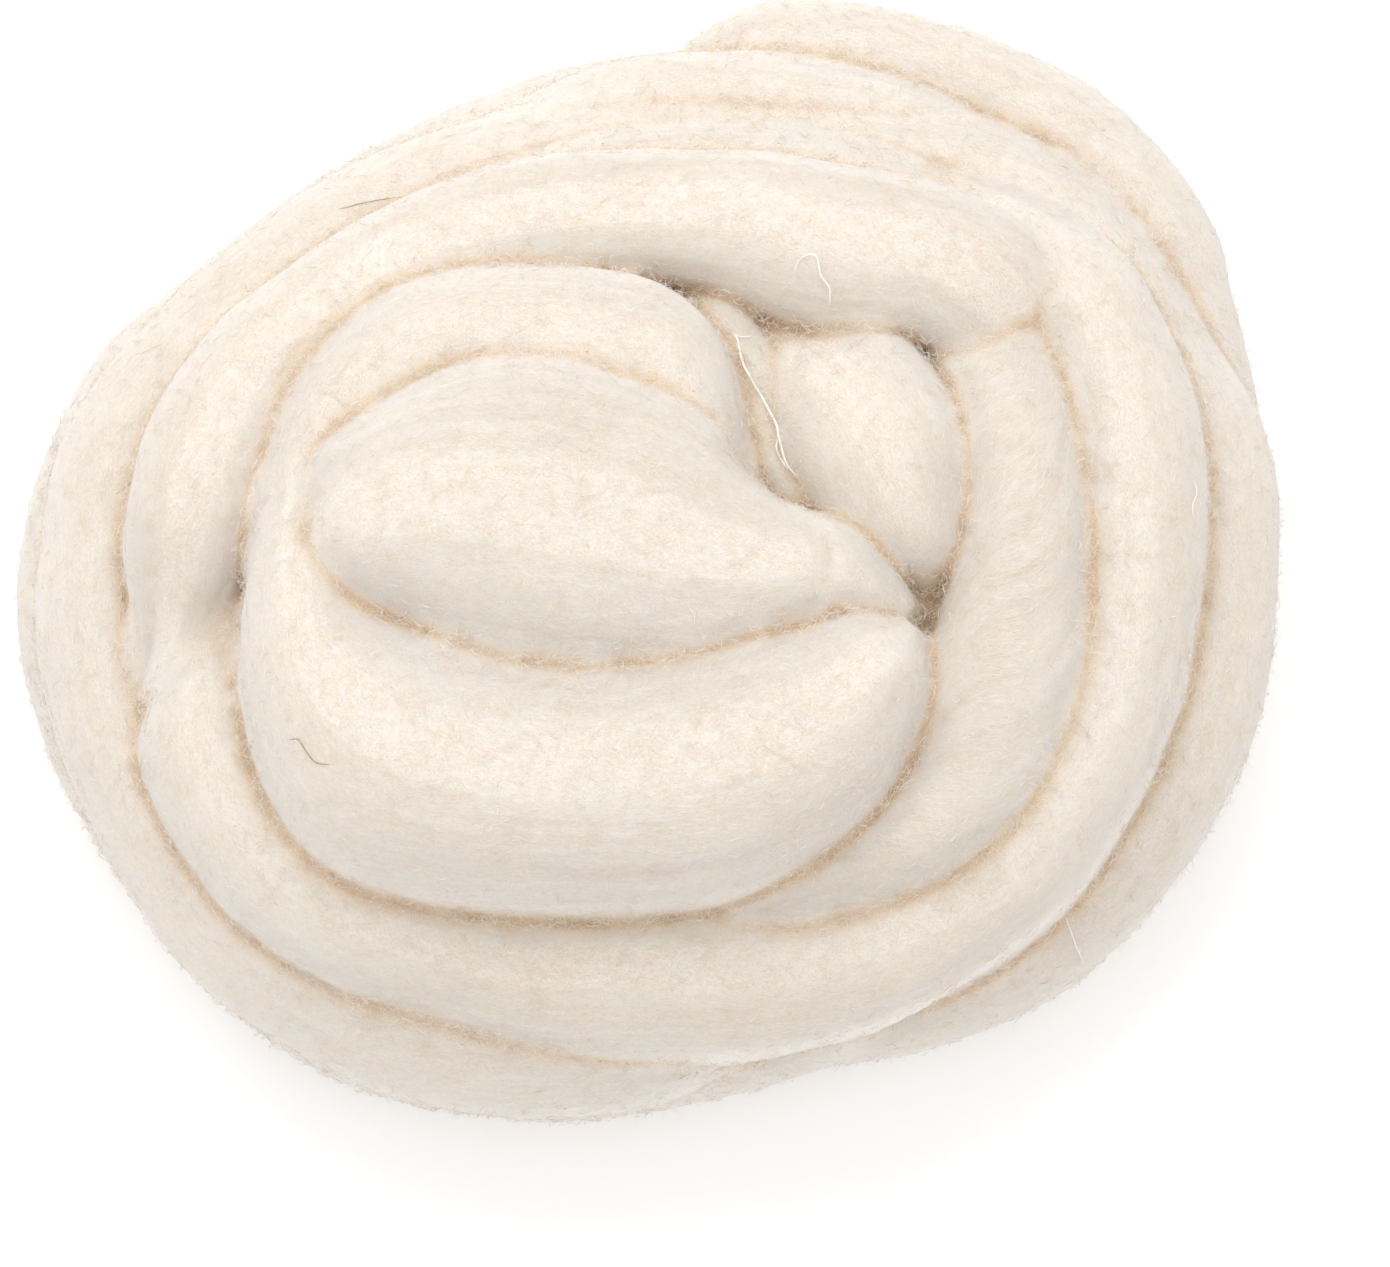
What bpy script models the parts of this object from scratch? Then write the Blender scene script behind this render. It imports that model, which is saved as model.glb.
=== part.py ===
"""A hank of wool roving: one long length of combed top, laid round on itself in turns and tucked in.

The whole hank is one piece. Its outer turns lie low, the next ones rest on them, and the free end is
folded over the middle, so the form climbs from the rim to the crest in steps.
Frame: +Z up, origin on the surface under the middle of the hank, X along its longer side, metres.
"""

import math
from collections import namedtuple

import bmesh
import bpy
from mathutils import Vector

# Driving sizes, in metres.
MM = 0.001
SECTION_STEP = 4.0 * MM      # distance between the sections that a turn is lofted through
SECTION_SIDES = 20           # points round one section
SQUARENESS = 2.1             # 2 is an ellipse: turns pressed together are a little squarer
# Rounded end of a turn: how far ahead of its last section, and how large, as shares of that section.
NOSE = ((0.25, 0.92), (0.45, 0.72), (0.58, 0.4))
FLAT_HEIGHT = 0.6 * MM       # whatever lies lower than this is pressed flat on the surface
VOXEL = 1.8 * MM             # grain at which the pressed turns grow together
SOFTENING_PASSES = 3         # passes that smooth the wool where turns have grown together
SOFTENING_SHARE = 0.5        # how far each pass moves a point towards its neighbours' middle
MOST_TRIANGLES = 11000       # the finished solid has no more than this
MIDDLE = (0.0, 4.4)          # middle of the hank's outline in the tables below, in millimetres

WOOL_COLOUR = (0.86, 0.79, 0.70, 1.0)
WOOL_ROUGHNESS = 0.95

# A turn is a strand laid through sections. Each turn's table has a row for each section that shapes it,
# with these columns, in millimetres. Height is that of the section's middle.
Section = namedtuple("Section", "x y height half_width half_height")

# The ring that the hank stands on, all the way round the rim.
OUTER_FOOT = [
    (-105, 5, 13, 15, 15),
    (-95, 32.5, 13, 15, 15),
    (-77, 49.5, 13, 15, 15),
    (-49, 71.5, 13, 15, 15),
    (-17, 86, 13, 15, 15),
    (9, 91, 13, 15, 15),
    (31, 91, 13, 14, 15),
    (58, 85, 13, 14, 15),
    (82, 69, 13, 14, 15),
    (95, 48, 13, 14, 15),
    (102, 28, 13, 14, 15),
    (104, 0, 13, 14, 15),
    (101, -21, 13, 14, 15),
    (91, -43, 13, 14, 15),
    (72, -61, 13, 14, 15),
    (44, -75, 13, 14, 15),
    (11, -85, 13, 14, 15),
    (-20, -89, 13, 14, 15),
    (-53, -82, 13, 14, 15),
    (-75, -64, 13, 14, 15),
    (-90.5, -43, 13, 15, 15),
    (-101.5, -21, 13, 15, 15),
]
# Inside the outer foot the same path winds on as a spiral, each turn lying against the one before it.
SPIRAL_EDGE_SCALE = 0.87     # where the spiral's outer edge starts: 1 is the outer foot's own path
SPIRAL_PITCH_SCALE = 0.27    # how far each turn lies inside the one before it
SPIRAL_TURNS = 3
SPIRAL_PRESS = 1.0           # how far neighbouring turns press into each other, in millimetres
# What is left open in the middle of the spiral is filled by one short strand.
EYE = [
    (-8, 2, 13, 9, 15),
    (8, 5, 13, 9, 15),
]
# The hidden turn that carries the second and third turns: the outer foot's path, drawn in and raised.
HIDDEN_TURN_SCALE = 0.76
HIDDEN_TURN_SECTION = (30, 15, 10)

# The outer turn, from under the front round the left and the back to the front right, where it sinks.
OUTER_TURN = [
    (18, -82, 24, 10, 14),
    (-1.5, -89.5, 28, 13, 16),
    (-20, -91.5, 29, 12.5, 16),
    (-37, -90, 30, 12, 15.5),
    (-54.5, -85, 30, 11, 15.5),
    (-73, -73, 30, 10.5, 15.5),
    (-87.5, -55, 30, 10.3, 15.5),
    (-98.5, -34, 30, 10, 15),
    (-103.2, -16, 30, 10, 15),
    (-103.4, 4, 30, 9.8, 15),
    (-101.2, 17, 30, 10, 15),
    (-95.5, 29.5, 30, 10, 15),
    (-84.7, 40.7, 31, 10, 15),
    (-73.7, 53, 31, 9.7, 15),
    (-59, 65, 31, 8.7, 15),
    (-41.5, 74.8, 31, 8.2, 15),
    (-24, 79.5, 31, 7, 15),
    (-6.5, 82, 31, 7, 15),
    (10, 82.3, 31, 7, 15),
    (30, 81, 31, 7, 15),
    (47, 79.3, 31, 7.5, 15),
    (62, 77.5, 31, 8, 15),
    (76.5, 70.5, 31, 7.3, 15),
    (88, 61.5, 30, 6.3, 14),
    (97, 50.5, 29, 5.5, 14),
    (103.5, 38, 29, 5.7, 14),
    (107.5, 30, 29, 6.5, 15),
    (110.8, 17, 29, 8.4, 15),
    (111, 0, 29, 9, 15),
    (109.3, -17, 28, 9, 15),
    (103.5, -37, 27, 8.7, 15),
    (93.5, -55, 25, 8, 14),
    (80.5, -69.5, 22, 7, 13),
    (66, -80, 19, 6, 12),
    (50, -86, 16, 5, 11),
    (34, -88, 13, 5, 10),
]
# At the back the outer turn parts in two: this is its outer half.
SPLIT_RIDGE = [
    (-34, 83, 28, 3, 10),
    (-20, 87, 30, 4, 13),
    (-6.5, 91, 31, 5.8, 14),
    (10, 92.7, 31, 6, 14),
    (30, 91.5, 31, 6, 14),
    (48, 87.7, 30, 5.5, 14),
    (62, 83, 29, 4, 12),
    (73, 75, 27, 3, 10),
]
# One more turn lies outside it at the back right, and ends there.
TOP_RIGHT_TURN = [
    (6, 99, 18, 4, 8),
    (20.5, 104, 21, 8, 14),
    (40, 103.7, 23, 8.3, 15),
    (58.5, 99, 23, 8.7, 15),
    (75.5, 90, 23, 9.5, 15),
    (90, 79, 23, 9.7, 15),
    (101, 65, 22, 8.8, 15),
    (107, 51.5, 21, 6.3, 14),
    (112, 39, 20, 4.7, 13),
    (115, 27, 18, 3, 10),
]
# The second turn, from the back right round the front to the left.
SECOND_TURN = [
    (58, 66, 36, 6, 10),
    (70, 60, 40, 8, 13),
    (79.5, 51.5, 43, 9.5, 15),
    (86, 42, 44, 10.2, 15),
    (90, 30, 44, 11, 15),
    (92, 15, 44, 11.8, 15),
    (92.5, 0, 44, 11, 15),
    (91, -15, 44, 10.4, 15),
    (87.5, -30, 44, 10, 15),
    (80, -46, 44, 9.8, 15),
    (69.5, -61, 43, 9.7, 15),
    (58, -70, 42, 10, 15),
    (46, -76.7, 42, 10.3, 15),
    (32, -81, 41, 11, 15),
    (18, -83, 41, 12, 15),
    (0, -82.7, 41, 12.5, 15),
    (-18, -82.7, 41, 10.5, 15),
    (-35, -79.3, 41, 8.7, 15),
    (-51, -74, 42, 8.8, 15),
    (-67, -63.5, 43, 9.2, 15),
    (-76.5, -51.5, 43, 9, 15),
    (-82, -39.5, 43, 9.8, 15),
    (-84, -29, 43, 9, 15),
    (-85, -19, 41, 6.5, 13),
    (-82, -8, 37, 4, 9),
]
# The third turn, from the left round the back to the right, where it dives under the inner one.
THIRD_TURN = [
    (-87, -20, 40, 3, 8),
    (-86, -10, 44, 6, 13),
    (-84.5, 4, 46, 8.5, 16),
    (-79.5, 20, 46, 9.7, 17),
    (-71, 33.5, 46, 9.4, 17),
    (-57, 46.5, 46, 8.6, 17),
    (-43, 55, 46, 8.6, 17),
    (-24, 60.7, 46, 10.2, 17),
    (-5, 61.7, 46, 11.2, 17),
    (15, 58.5, 46, 13.7, 17),
    (35, 55.3, 46, 15.3, 17),
    (54, 51.7, 45, 14.5, 17),
    (66, 45, 43, 10.4, 16),
    (72.5, 34, 36, 7, 12),
    (73, 20, 30, 5, 8),
]
# The inner turn, down the right side, thinning out at the front.
INNER_TURN = [
    (60, 37, 44, 5, 10),
    (64.5, 28.5, 48, 8.7, 15),
    (68.7, 15, 50, 10, 16),
    (69.7, 0, 50, 10.4, 16),
    (68.3, -13, 50, 12, 16),
    (66, -26, 50, 13.3, 16),
    (60.5, -43, 50, 11.6, 16),
    (52, -54, 50, 9, 16),
    (43, -60.5, 49, 7.2, 15),
    (33, -65.3, 48, 5.7, 14),
    (20, -68.2, 46, 4.3, 12),
    (3, -69.8, 42, 3, 9),
]
# The free end: it comes up by the core, folds over to the left and swells into the belly at the front.
FOLDED_END = [
    (19, 3, 52, 4, 12),
    (13, 13, 56, 7, 17),
    (5, 25, 58, 11.5, 18),
    (-10, 33, 58, 11, 18),
    (-22, 35.7, 58, 7.7, 18),
    (-36, 36.3, 57, 6.3, 17),
    (-46, 29.8, 56, 6.6, 17),
    (-54.5, 21, 55, 6.7, 17),
    (-61, 9.5, 54, 5.7, 17),
    (-63.5, -2, 54, 5.5, 18),
    (-64, -13, 55, 6.5, 20),
    (-59.5, -30, 56, 12.5, 22),
    (-45, -45, 56, 18.7, 24),
    (-25, -49.7, 56, 19.3, 24),
    (-5, -50.3, 56, 19.3, 24),
    (15.5, -47.7, 56, 18.7, 24),
    (31.5, -40, 55, 15.3, 23),
    (43.5, -27.5, 54, 8, 20),
    (47.5, -20, 52, 3.5, 14),
]
# The core, the highest fold, with a second fold that meets it from the right.
CORE = [
    (-60.5, -6.5, 57, 6, 10),
    (-57.5, -6.5, 59, 13.5, 16),
    (-50, -4, 61, 20.3, 20.5),
    (-40, -1.5, 62, 26, 22),
    (-30, -1, 62, 29, 22),
    (-20, -2.5, 62, 28.5, 22),
    (-10, -4.7, 62, 26.8, 22),
    (0, -6, 62, 23.5, 22),
    (10, -9, 61, 17.5, 20),
    (20, -12, 60, 13, 17),
    (30, -13, 58, 10, 14),
]
CORE_FOLD = [
    (51, -17.5, 56, 3, 10),
    (44, -15.5, 58, 5.5, 16),
    (33, -13, 60, 11, 20),
    (22, -14.5, 61, 13.2, 21.5),
    (13, -18, 61, 11, 22.5),
    (5, -21.7, 60, 8.3, 22),
    (-3, -24.7, 58, 5.5, 20),
]
# Two leaf-shaped folds between the core and the third turn.
PETAL = [
    (12, 33, 50, 3, 14),
    (24, 24, 54, 8.7, 18),
    (35, 12.5, 55, 12.6, 18.5),
    (44, 1, 54, 10.6, 18),
    (49, -8, 53, 6.6, 16),
    (50.5, -14, 51, 3.5, 12),
]
TUCKED_FOLD = [
    (14, 24, 46, 4, 14),
    (20, 12, 49, 5.5, 15),
    (28, 3, 49, 5, 15),
    (37, -5, 48, 4, 13),
]
# The hidden turns under the core, as one packed mass: middle and half sizes, in millimetres.
HEART_MIDDLE = (0, -10, 34)
HEART_HALF_SIZES = (66, 54, 25)
HEART_SIDES = 32             # faces round it
HEART_RINGS = 16             # faces from pole to pole


def clear_scene():
    for obj in list(bpy.data.objects):
        bpy.data.objects.remove(obj, do_unlink=True)


def between(before, start, end, after, t):
    """Smooth value at t between start and end (a Catmull-Rom curve), column by column."""
    return [
        0.5 * (2 * b + (c - a) * t + (2 * a - 5 * b + 4 * c - d) * t**2 + (3 * b - a - 3 * c + d) * t**3)
        for a, b, c, d in zip(before, start, end, after)
    ]


def sections_along(rows, closed):
    """The table's rows with smooth ones between them, about SECTION_STEP apart, in metres from the middle."""
    count = len(rows)
    spans = count if closed else count - 1
    sections = []
    for i in range(spans):
        before = rows[(i - 1) % count] if closed or i > 0 else rows[i]
        start = rows[i]
        end = rows[(i + 1) % count]
        after = rows[(i + 2) % count] if closed or i + 2 < count else end
        length = math.dist(start[:3], end[:3]) * MM
        steps = max(1, round(length / SECTION_STEP))
        sections += [between(before, start, end, after, k / steps) for k in range(steps)]
    if not closed:
        sections.append(list(rows[-1]))
    shift = (MIDDLE[0], MIDDLE[1], 0, 0, 0)
    return [Section(*((value - offset) * MM for value, offset in zip(row, shift))) for row in sections]


def section_points(section, along):
    """Points round one section, a rounded oblong set across the direction of the turn."""
    middle = Vector((section.x, section.y, section.height))
    across = Vector((along.y, -along.x, 0)).normalized() * section.half_width
    up = Vector((0, 0, section.half_height))
    points = []
    for k in range(SECTION_SIDES):
        angle = math.tau * k / SECTION_SIDES
        side = math.copysign(abs(math.cos(angle)) ** (2 / SQUARENESS), math.cos(angle))
        rise = math.copysign(abs(math.sin(angle)) ** (2 / SQUARENESS), math.sin(angle))
        point = middle + across * side + up * rise
        point.z = max(point.z, 0.0)
        points.append(point)
    return points


def nose(section, along, facing):
    """Sections that round off an open end: from the end section outwards, each further on and smaller."""
    ahead = along.normalized() * facing * section.half_width
    return [
        section._replace(
            x=section.x + ahead.x * reach,
            y=section.y + ahead.y * reach,
            half_width=section.half_width * size,
            half_height=section.half_height * size,
        )
        for reach, size in NOSE
    ]


def add_turn(mesh, rows, closed=False):
    """Adds one turn to the mesh: a closed loft through its sections, with rounded ends if it is open."""
    sections = sections_along(rows, closed)
    count = len(sections)
    outlines = []
    for i, section in enumerate(sections):
        last = sections[i - 1] if closed or i > 0 else section
        following = sections[(i + 1) % count] if closed or i + 1 < count else section
        along = Vector((following.x - last.x, following.y - last.y, 0))
        if i == 0 and not closed:
            outlines += [section_points(end, along) for end in reversed(nose(section, along, -1))]
        outlines.append(section_points(section, along))
        if i + 1 == count and not closed:
            outlines += [section_points(end, along) for end in nose(section, along, 1)]
    rings = [[mesh.verts.new(point) for point in outline] for outline in outlines]
    for i in range(len(rings) if closed else len(rings) - 1):
        ring, following = rings[i], rings[(i + 1) % len(rings)]
        for k in range(SECTION_SIDES):
            j = (k + 1) % SECTION_SIDES
            mesh.faces.new((ring[k], ring[j], following[j], following[k]))
    if not closed:
        mesh.faces.new(rings[0][::-1])
        mesh.faces.new(rings[-1])


def foot_spiral():
    """Rows of the turns that the hank stands on inside its outer foot, from the outside in."""
    per_turn = len(OUTER_FOOT)
    rows = []
    for n in range(SPIRAL_TURNS * per_turn + 1):
        x, y, z, _, half_height = OUTER_FOOT[n % per_turn]
        inner_edge = SPIRAL_EDGE_SCALE - SPIRAL_PITCH_SCALE * n / per_turn
        outer_edge = min(SPIRAL_EDGE_SCALE, inner_edge + SPIRAL_PITCH_SCALE)
        middle = (inner_edge + outer_edge) / 2
        half_width = (outer_edge - inner_edge) / 2 * math.hypot(x, y) + SPIRAL_PRESS
        rows.append((x * middle, y * middle, z, half_width, half_height))
    return rows


def hidden_turn():
    """Rows of the hidden turn, which follows the outer foot's path."""
    return [(x * HIDDEN_TURN_SCALE, y * HIDDEN_TURN_SCALE) + HIDDEN_TURN_SECTION for x, y, *_ in OUTER_FOOT]


def add_heart(mesh):
    """Adds the packed mass of hidden turns under the core."""
    made = bmesh.ops.create_uvsphere(mesh, u_segments=HEART_SIDES, v_segments=HEART_RINGS, radius=1.0)
    for vert in made["verts"]:
        for axis in range(3):
            vert.co[axis] = (HEART_MIDDLE[axis] + vert.co[axis] * HEART_HALF_SIZES[axis]) * MM


def wool_material():
    material = bpy.data.materials.new("wool")
    material.use_nodes = True
    shader = material.node_tree.nodes["Principled BSDF"]
    shader.inputs["Base Color"].default_value = WOOL_COLOUR
    shader.inputs["Roughness"].default_value = WOOL_ROUGHNESS
    shader.inputs["Metallic"].default_value = 0.0
    return material


def laid_turns():
    """All the turns as they lie, overlapping where they press on each other, as one mesh."""
    mesh = bmesh.new()
    add_turn(mesh, OUTER_FOOT, closed=True)
    add_turn(mesh, foot_spiral())
    add_turn(mesh, EYE)
    add_turn(mesh, hidden_turn(), closed=True)
    for rows in (OUTER_TURN, SPLIT_RIDGE, TOP_RIGHT_TURN, SECOND_TURN, THIRD_TURN, INNER_TURN):
        add_turn(mesh, rows)
    for rows in (FOLDED_END, CORE, CORE_FOLD, PETAL, TUCKED_FOLD):
        add_turn(mesh, rows)
    add_heart(mesh)
    bmesh.ops.recalc_face_normals(mesh, faces=mesh.faces)
    turns = bpy.data.meshes.new("turns")
    mesh.to_mesh(turns)
    mesh.free()
    return turns


def evaluated_mesh(obj):
    graph = bpy.context.evaluated_depsgraph_get()
    return bpy.data.meshes.new_from_object(obj.evaluated_get(graph))


def press_flat(mesh):
    """Lays the lowest skin of the hank flat on the surface."""
    for vertex in mesh.vertices:
        if vertex.co.z < FLAT_HEIGHT:
            vertex.co.z = 0.0


def build_roving():
    collection = bpy.data.collections.new("wool_roving")
    bpy.context.scene.collection.children.link(collection)

    pressed = bpy.data.objects.new("pressed_turns", laid_turns())
    collection.objects.link(pressed)
    remesh = pressed.modifiers.new("grow_together", "REMESH")
    remesh.mode = "VOXEL"
    remesh.voxel_size = VOXEL
    smooth = pressed.modifiers.new("soften", "SMOOTH")
    smooth.factor = SOFTENING_SHARE
    smooth.iterations = SOFTENING_PASSES
    fine = evaluated_mesh(pressed)
    bpy.data.objects.remove(pressed, do_unlink=True)
    press_flat(fine)

    roving = bpy.data.objects.new("roving", fine)
    collection.objects.link(roving)
    triangles = sum(len(polygon.vertices) - 2 for polygon in fine.polygons)
    decimate = roving.modifiers.new("fewer_faces", "DECIMATE")
    decimate.ratio = min(1.0, MOST_TRIANGLES / triangles)
    decimate.use_collapse_triangulate = True
    coarse = evaluated_mesh(roving)
    roving.modifiers.clear()
    roving.data = coarse
    bpy.data.meshes.remove(fine)
    press_flat(coarse)
    coarse.materials.append(wool_material())
    coarse.shade_smooth()
    return roving


clear_scene()
build_roving()
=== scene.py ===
"""Looks of a hank of wool roving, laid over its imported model.

A combed wool top is one long, soft, untwisted length of fibres. It is laid round on itself in turns, the
low ones outside and the folded end on top, and nothing but the wool's own grip holds it. Each turn is laid
here as a strand of its own. The strands are then grown together into one soft surface, and loose fibres,
curls and fuzz are scattered over it.
Frame: metres, +Z up, origin on the surface under the middle of the hank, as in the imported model.
"""

import math

import bpy
import numpy as np
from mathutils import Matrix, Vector


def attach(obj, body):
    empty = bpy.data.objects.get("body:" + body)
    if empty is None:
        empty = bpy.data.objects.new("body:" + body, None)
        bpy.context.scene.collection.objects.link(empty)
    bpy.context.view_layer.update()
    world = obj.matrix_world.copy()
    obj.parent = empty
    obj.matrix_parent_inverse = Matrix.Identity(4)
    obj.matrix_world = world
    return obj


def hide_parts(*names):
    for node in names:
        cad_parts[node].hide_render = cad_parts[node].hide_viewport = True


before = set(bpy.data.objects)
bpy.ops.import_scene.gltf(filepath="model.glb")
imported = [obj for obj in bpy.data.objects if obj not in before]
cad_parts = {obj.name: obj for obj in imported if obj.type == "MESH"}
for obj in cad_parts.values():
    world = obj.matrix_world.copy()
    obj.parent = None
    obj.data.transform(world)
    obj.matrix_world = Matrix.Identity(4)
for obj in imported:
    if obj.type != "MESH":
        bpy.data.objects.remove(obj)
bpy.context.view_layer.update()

# ---------------------------------------------------------------------------------------------------
# The hank: one length of soft combed wool, laid round on itself from the foot up and folded in at the
# middle. The low turns are pressed flat where it rests, the upper ones press into each other, and
# nothing ties them.
# ---------------------------------------------------------------------------------------------------
MM = 0.001
MIDDLE = (0.0, 4.4)          # middle of the hank's outline in all tables of places, in millimetres

# Each turn is a table with a row for each section on its way: x, y, height, half width and half height, in
# millimetres. First the foot: the ring that the hank stands on, and the flat spiral of turns inside it.
OUTER_FOOT = [
    (-105, 5, 13, 15, 15),
    (-95, 32.5, 13, 15, 15),
    (-77, 49.5, 13, 15, 15),
    (-49, 71.5, 13, 15, 15),
    (-17, 86, 13, 15, 15),
    (9, 91, 13, 15, 15),
    (31, 91, 13, 14, 15),
    (58, 85, 13, 14, 15),
    (82, 69, 13, 14, 15),
    (95, 48, 13, 14, 15),
    (102, 28, 13, 14, 15),
    (104, 0, 13, 14, 15),
    (101, -21, 13, 14, 15),
    (91, -43, 13, 14, 15),
    (72, -61, 13, 14, 15),
    (44, -75, 13, 14, 15),
    (11, -85, 13, 14, 15),
    (-20, -89, 13, 14, 15),
    (-53, -82, 13, 14, 15),
    (-75, -64, 13, 14, 15),
    (-90.5, -43, 13, 15, 15),
    (-101.5, -21, 13, 15, 15),
]
# Inside the ring the same path winds on as a spiral, each turn lying against the one before it.
SPIRAL_EDGE_SCALE = 0.87     # where the spiral's outer edge starts: 1 is the outer foot's own path
SPIRAL_PITCH_SCALE = 0.27    # how far each turn lies inside the one before it
SPIRAL_TURNS = 3
SPIRAL_PRESS = 1.0           # how far neighbouring turns press into each other, in millimetres
# What is left open in the middle of the spiral is filled by one short strand.
EYE = [
    (-8, 2, 13, 9, 15),
    (8, 5, 13, 9, 15),
]


def foot_spiral():
    """Rows of the turns inside the outer foot, from the outside in."""
    per_turn = len(OUTER_FOOT)
    rows = []
    for n in range(SPIRAL_TURNS * per_turn + 1):
        x, y, z, _, half_height = OUTER_FOOT[n % per_turn]
        inner_edge = SPIRAL_EDGE_SCALE - SPIRAL_PITCH_SCALE * n / per_turn
        outer_edge = min(SPIRAL_EDGE_SCALE, inner_edge + SPIRAL_PITCH_SCALE)
        middle = (inner_edge + outer_edge) / 2
        half_width = (outer_edge - inner_edge) / 2 * math.hypot(x, y) + SPIRAL_PRESS
        rows.append((x * middle, y * middle, z, half_width, half_height))
    return rows


# The hidden turn under the top ones, which follows the foot's path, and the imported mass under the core.
HIDDEN_TURN_SCALE = 0.76
HIDDEN_TURN_SECTION = (33, 15, 17)
hidden_turn = [
    (x * HIDDEN_TURN_SCALE, y * HIDDEN_TURN_SCALE) + HIDDEN_TURN_SECTION for x, y, *_ in OUTER_FOOT
]
HEART = [
    (-50, -8, 38, 36, 26),
    (-25, -8, 40, 44, 29),
    (5, -14, 40, 38, 27),
    (20, -17, 38, 35, 23),
    (42, -9, 37, 34, 18),
    (55, 8, 40, 36, 18),
]

# The outer turn, a long loose length round the rim. At the back it parts in two, and one more turn lies
# outside it at the back right.
OUTER_TURN = [
    (18, -82, 24, 10, 14),
    (-1.5, -89.5, 28, 13, 16),
    (-20, -91.5, 29, 12.5, 16),
    (-37, -90, 30, 12, 15.5),
    (-54.5, -85, 30, 11, 15.5),
    (-73, -73, 30, 10.5, 15.5),
    (-87.5, -55, 30, 10.3, 15.5),
    (-98.5, -34, 30, 10, 15),
    (-103.2, -16, 30, 10, 15),
    (-103.4, 4, 30, 9.8, 15),
    (-101.2, 17, 30, 10, 15),
    (-95.5, 29.5, 30, 10, 15),
    (-84.7, 40.7, 31, 10, 15),
    (-73.7, 53, 31, 9.7, 15),
    (-59, 65, 31, 8.7, 15),
    (-41.5, 74.8, 31, 8.2, 15),
    (-24, 79.5, 31, 7, 15),
    (-6.5, 82, 31, 7, 15),
    (10, 82.3, 31, 7, 15),
    (30, 81, 31, 7, 15),
    (47, 79.3, 31, 7.5, 15),
    (62, 77.5, 31, 8, 15),
    (76.5, 70.5, 31, 7.3, 15),
    (88, 61.5, 30, 6.3, 14),
    (97, 50.5, 29, 5.5, 14),
    (103.5, 38, 29, 5.7, 14),
    (107.5, 30, 29, 6.5, 15),
    (110.8, 17, 29, 8.4, 15),
    (111, 0, 29, 9, 15),
    (109.3, -17, 28, 9, 15),
    (103.5, -37, 27, 8.7, 15),
    (93.5, -55, 25, 8, 14),
    (80.5, -69.5, 22, 7, 13),
    (66, -80, 19, 6, 12),
    (50, -86, 16, 5, 11),
    (34, -88, 13, 5, 10),
]
SPLIT_RIDGE = [
    (-34, 83, 28, 3, 10),
    (-20, 87, 30, 4, 13),
    (-6.5, 91, 31, 5.8, 14),
    (10, 92.7, 31, 6, 14),
    (30, 91.5, 31, 6, 14),
    (48, 87.7, 30, 5.5, 14),
    (62, 83, 29, 4, 12),
    (73, 75, 27, 3, 10),
]
TOP_RIGHT_TURN = [
    (6, 99, 18, 4, 8),
    (20.5, 104, 21, 8, 14),
    (40, 103.7, 23, 8.3, 15),
    (58.5, 99, 23, 8.7, 15),
    (75.5, 90, 23, 9.5, 15),
    (90, 79, 23, 9.7, 15),
    (101, 65, 22, 8.8, 15),
    (107, 51.5, 21, 6.3, 14),
    (112, 39, 20, 4.7, 13),
    (115, 27, 18, 3, 10),
]

# The second turn, from the back right round the front to the left, and the third, from there round the back.
SECOND_TURN = [
    (40, 72, 33, 3, 9),
    (58, 68, 37, 5.5, 11),
    (70, 61, 40, 8, 13),
    (79.5, 51.5, 43, 9.5, 15),
    (86, 42, 44, 10.2, 15),
    (90, 30, 44, 11, 15),
    (92, 15, 44, 11.8, 15),
    (92.5, 0, 44, 11, 15),
    (91, -15, 44, 10.4, 15),
    (87.5, -30, 44, 10, 15),
    (80, -46, 44, 9.8, 15),
    (69.5, -61, 43, 9.7, 15),
    (58, -70, 42, 10, 15),
    (46, -76.7, 42, 10.3, 15),
    (32, -81, 41, 11, 15),
    (18, -83, 41, 12, 15),
    (0, -82.7, 41, 12.5, 15),
    (-18, -82.7, 41, 10.5, 15),
    (-35, -79.3, 41, 8.7, 15),
    (-51, -74, 42, 8.8, 15),
    (-67, -63.5, 43, 9.2, 15),
    (-76.5, -51.5, 43, 9, 15),
    (-82, -39.5, 43, 9.8, 15),
    (-82.6, -32, 43, 7.4, 15),
    (-82, -25, 42, 5, 13),
    (-80.5, -18, 40, 3, 10),
    (-78.5, -11, 36, 1.5, 7),
]
THIRD_TURN = [
    (-92.5, -32, 38, 0.8, 5),
    (-91.5, -25, 40, 1.8, 8),
    (-89, -17, 43, 4, 11),
    (-86.5, -7, 46, 7.8, 14),
    (-84.2, 4, 49, 10.4, 16),
    (-79.3, 19, 49.5, 10.6, 17),
    (-71, 33.5, 49, 9.4, 17),
    (-57, 46.5, 48, 8.6, 17),
    (-43, 55, 48, 8.6, 17),
    (-24, 60.7, 48.5, 10.2, 17),
    (-5, 62.3, 49, 10.6, 17),
    (15, 61.5, 49.5, 11.4, 17),
    (35, 56, 50, 14, 17),
    (54, 53.4, 48.5, 13, 17),
    (66.5, 46.5, 47, 12, 16),
    (75.5, 36.5, 40, 8, 12),
    (76, 25, 32, 5, 8),
]

# The inner turn, down the right side. It alone shows a twist: its fibres lean across it, by these degrees.
INNER_TURN = [
    (61, 45, 36, 9, 9),
    (62.5, 37, 44, 11.7, 13),
    (65.3, 28.5, 46.5, 11.4, 15),
    (68, 15, 49.5, 11.4, 16),
    (69.3, 0, 50, 11.7, 16),
    (68, -13, 50, 12.9, 16),
    (65.6, -26, 50, 14, 16),
    (60.2, -43, 50, 12.2, 16),
    (52, -54, 50, 9.5, 16),
    (43, -60.5, 49, 7.5, 15),
    (33, -65.3, 48, 5.9, 14),
    (20, -68.2, 46, 4.4, 12),
    (3, -69.8, 42, 3, 9),
]
INNER_TURN_LEAN = -28.0

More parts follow.
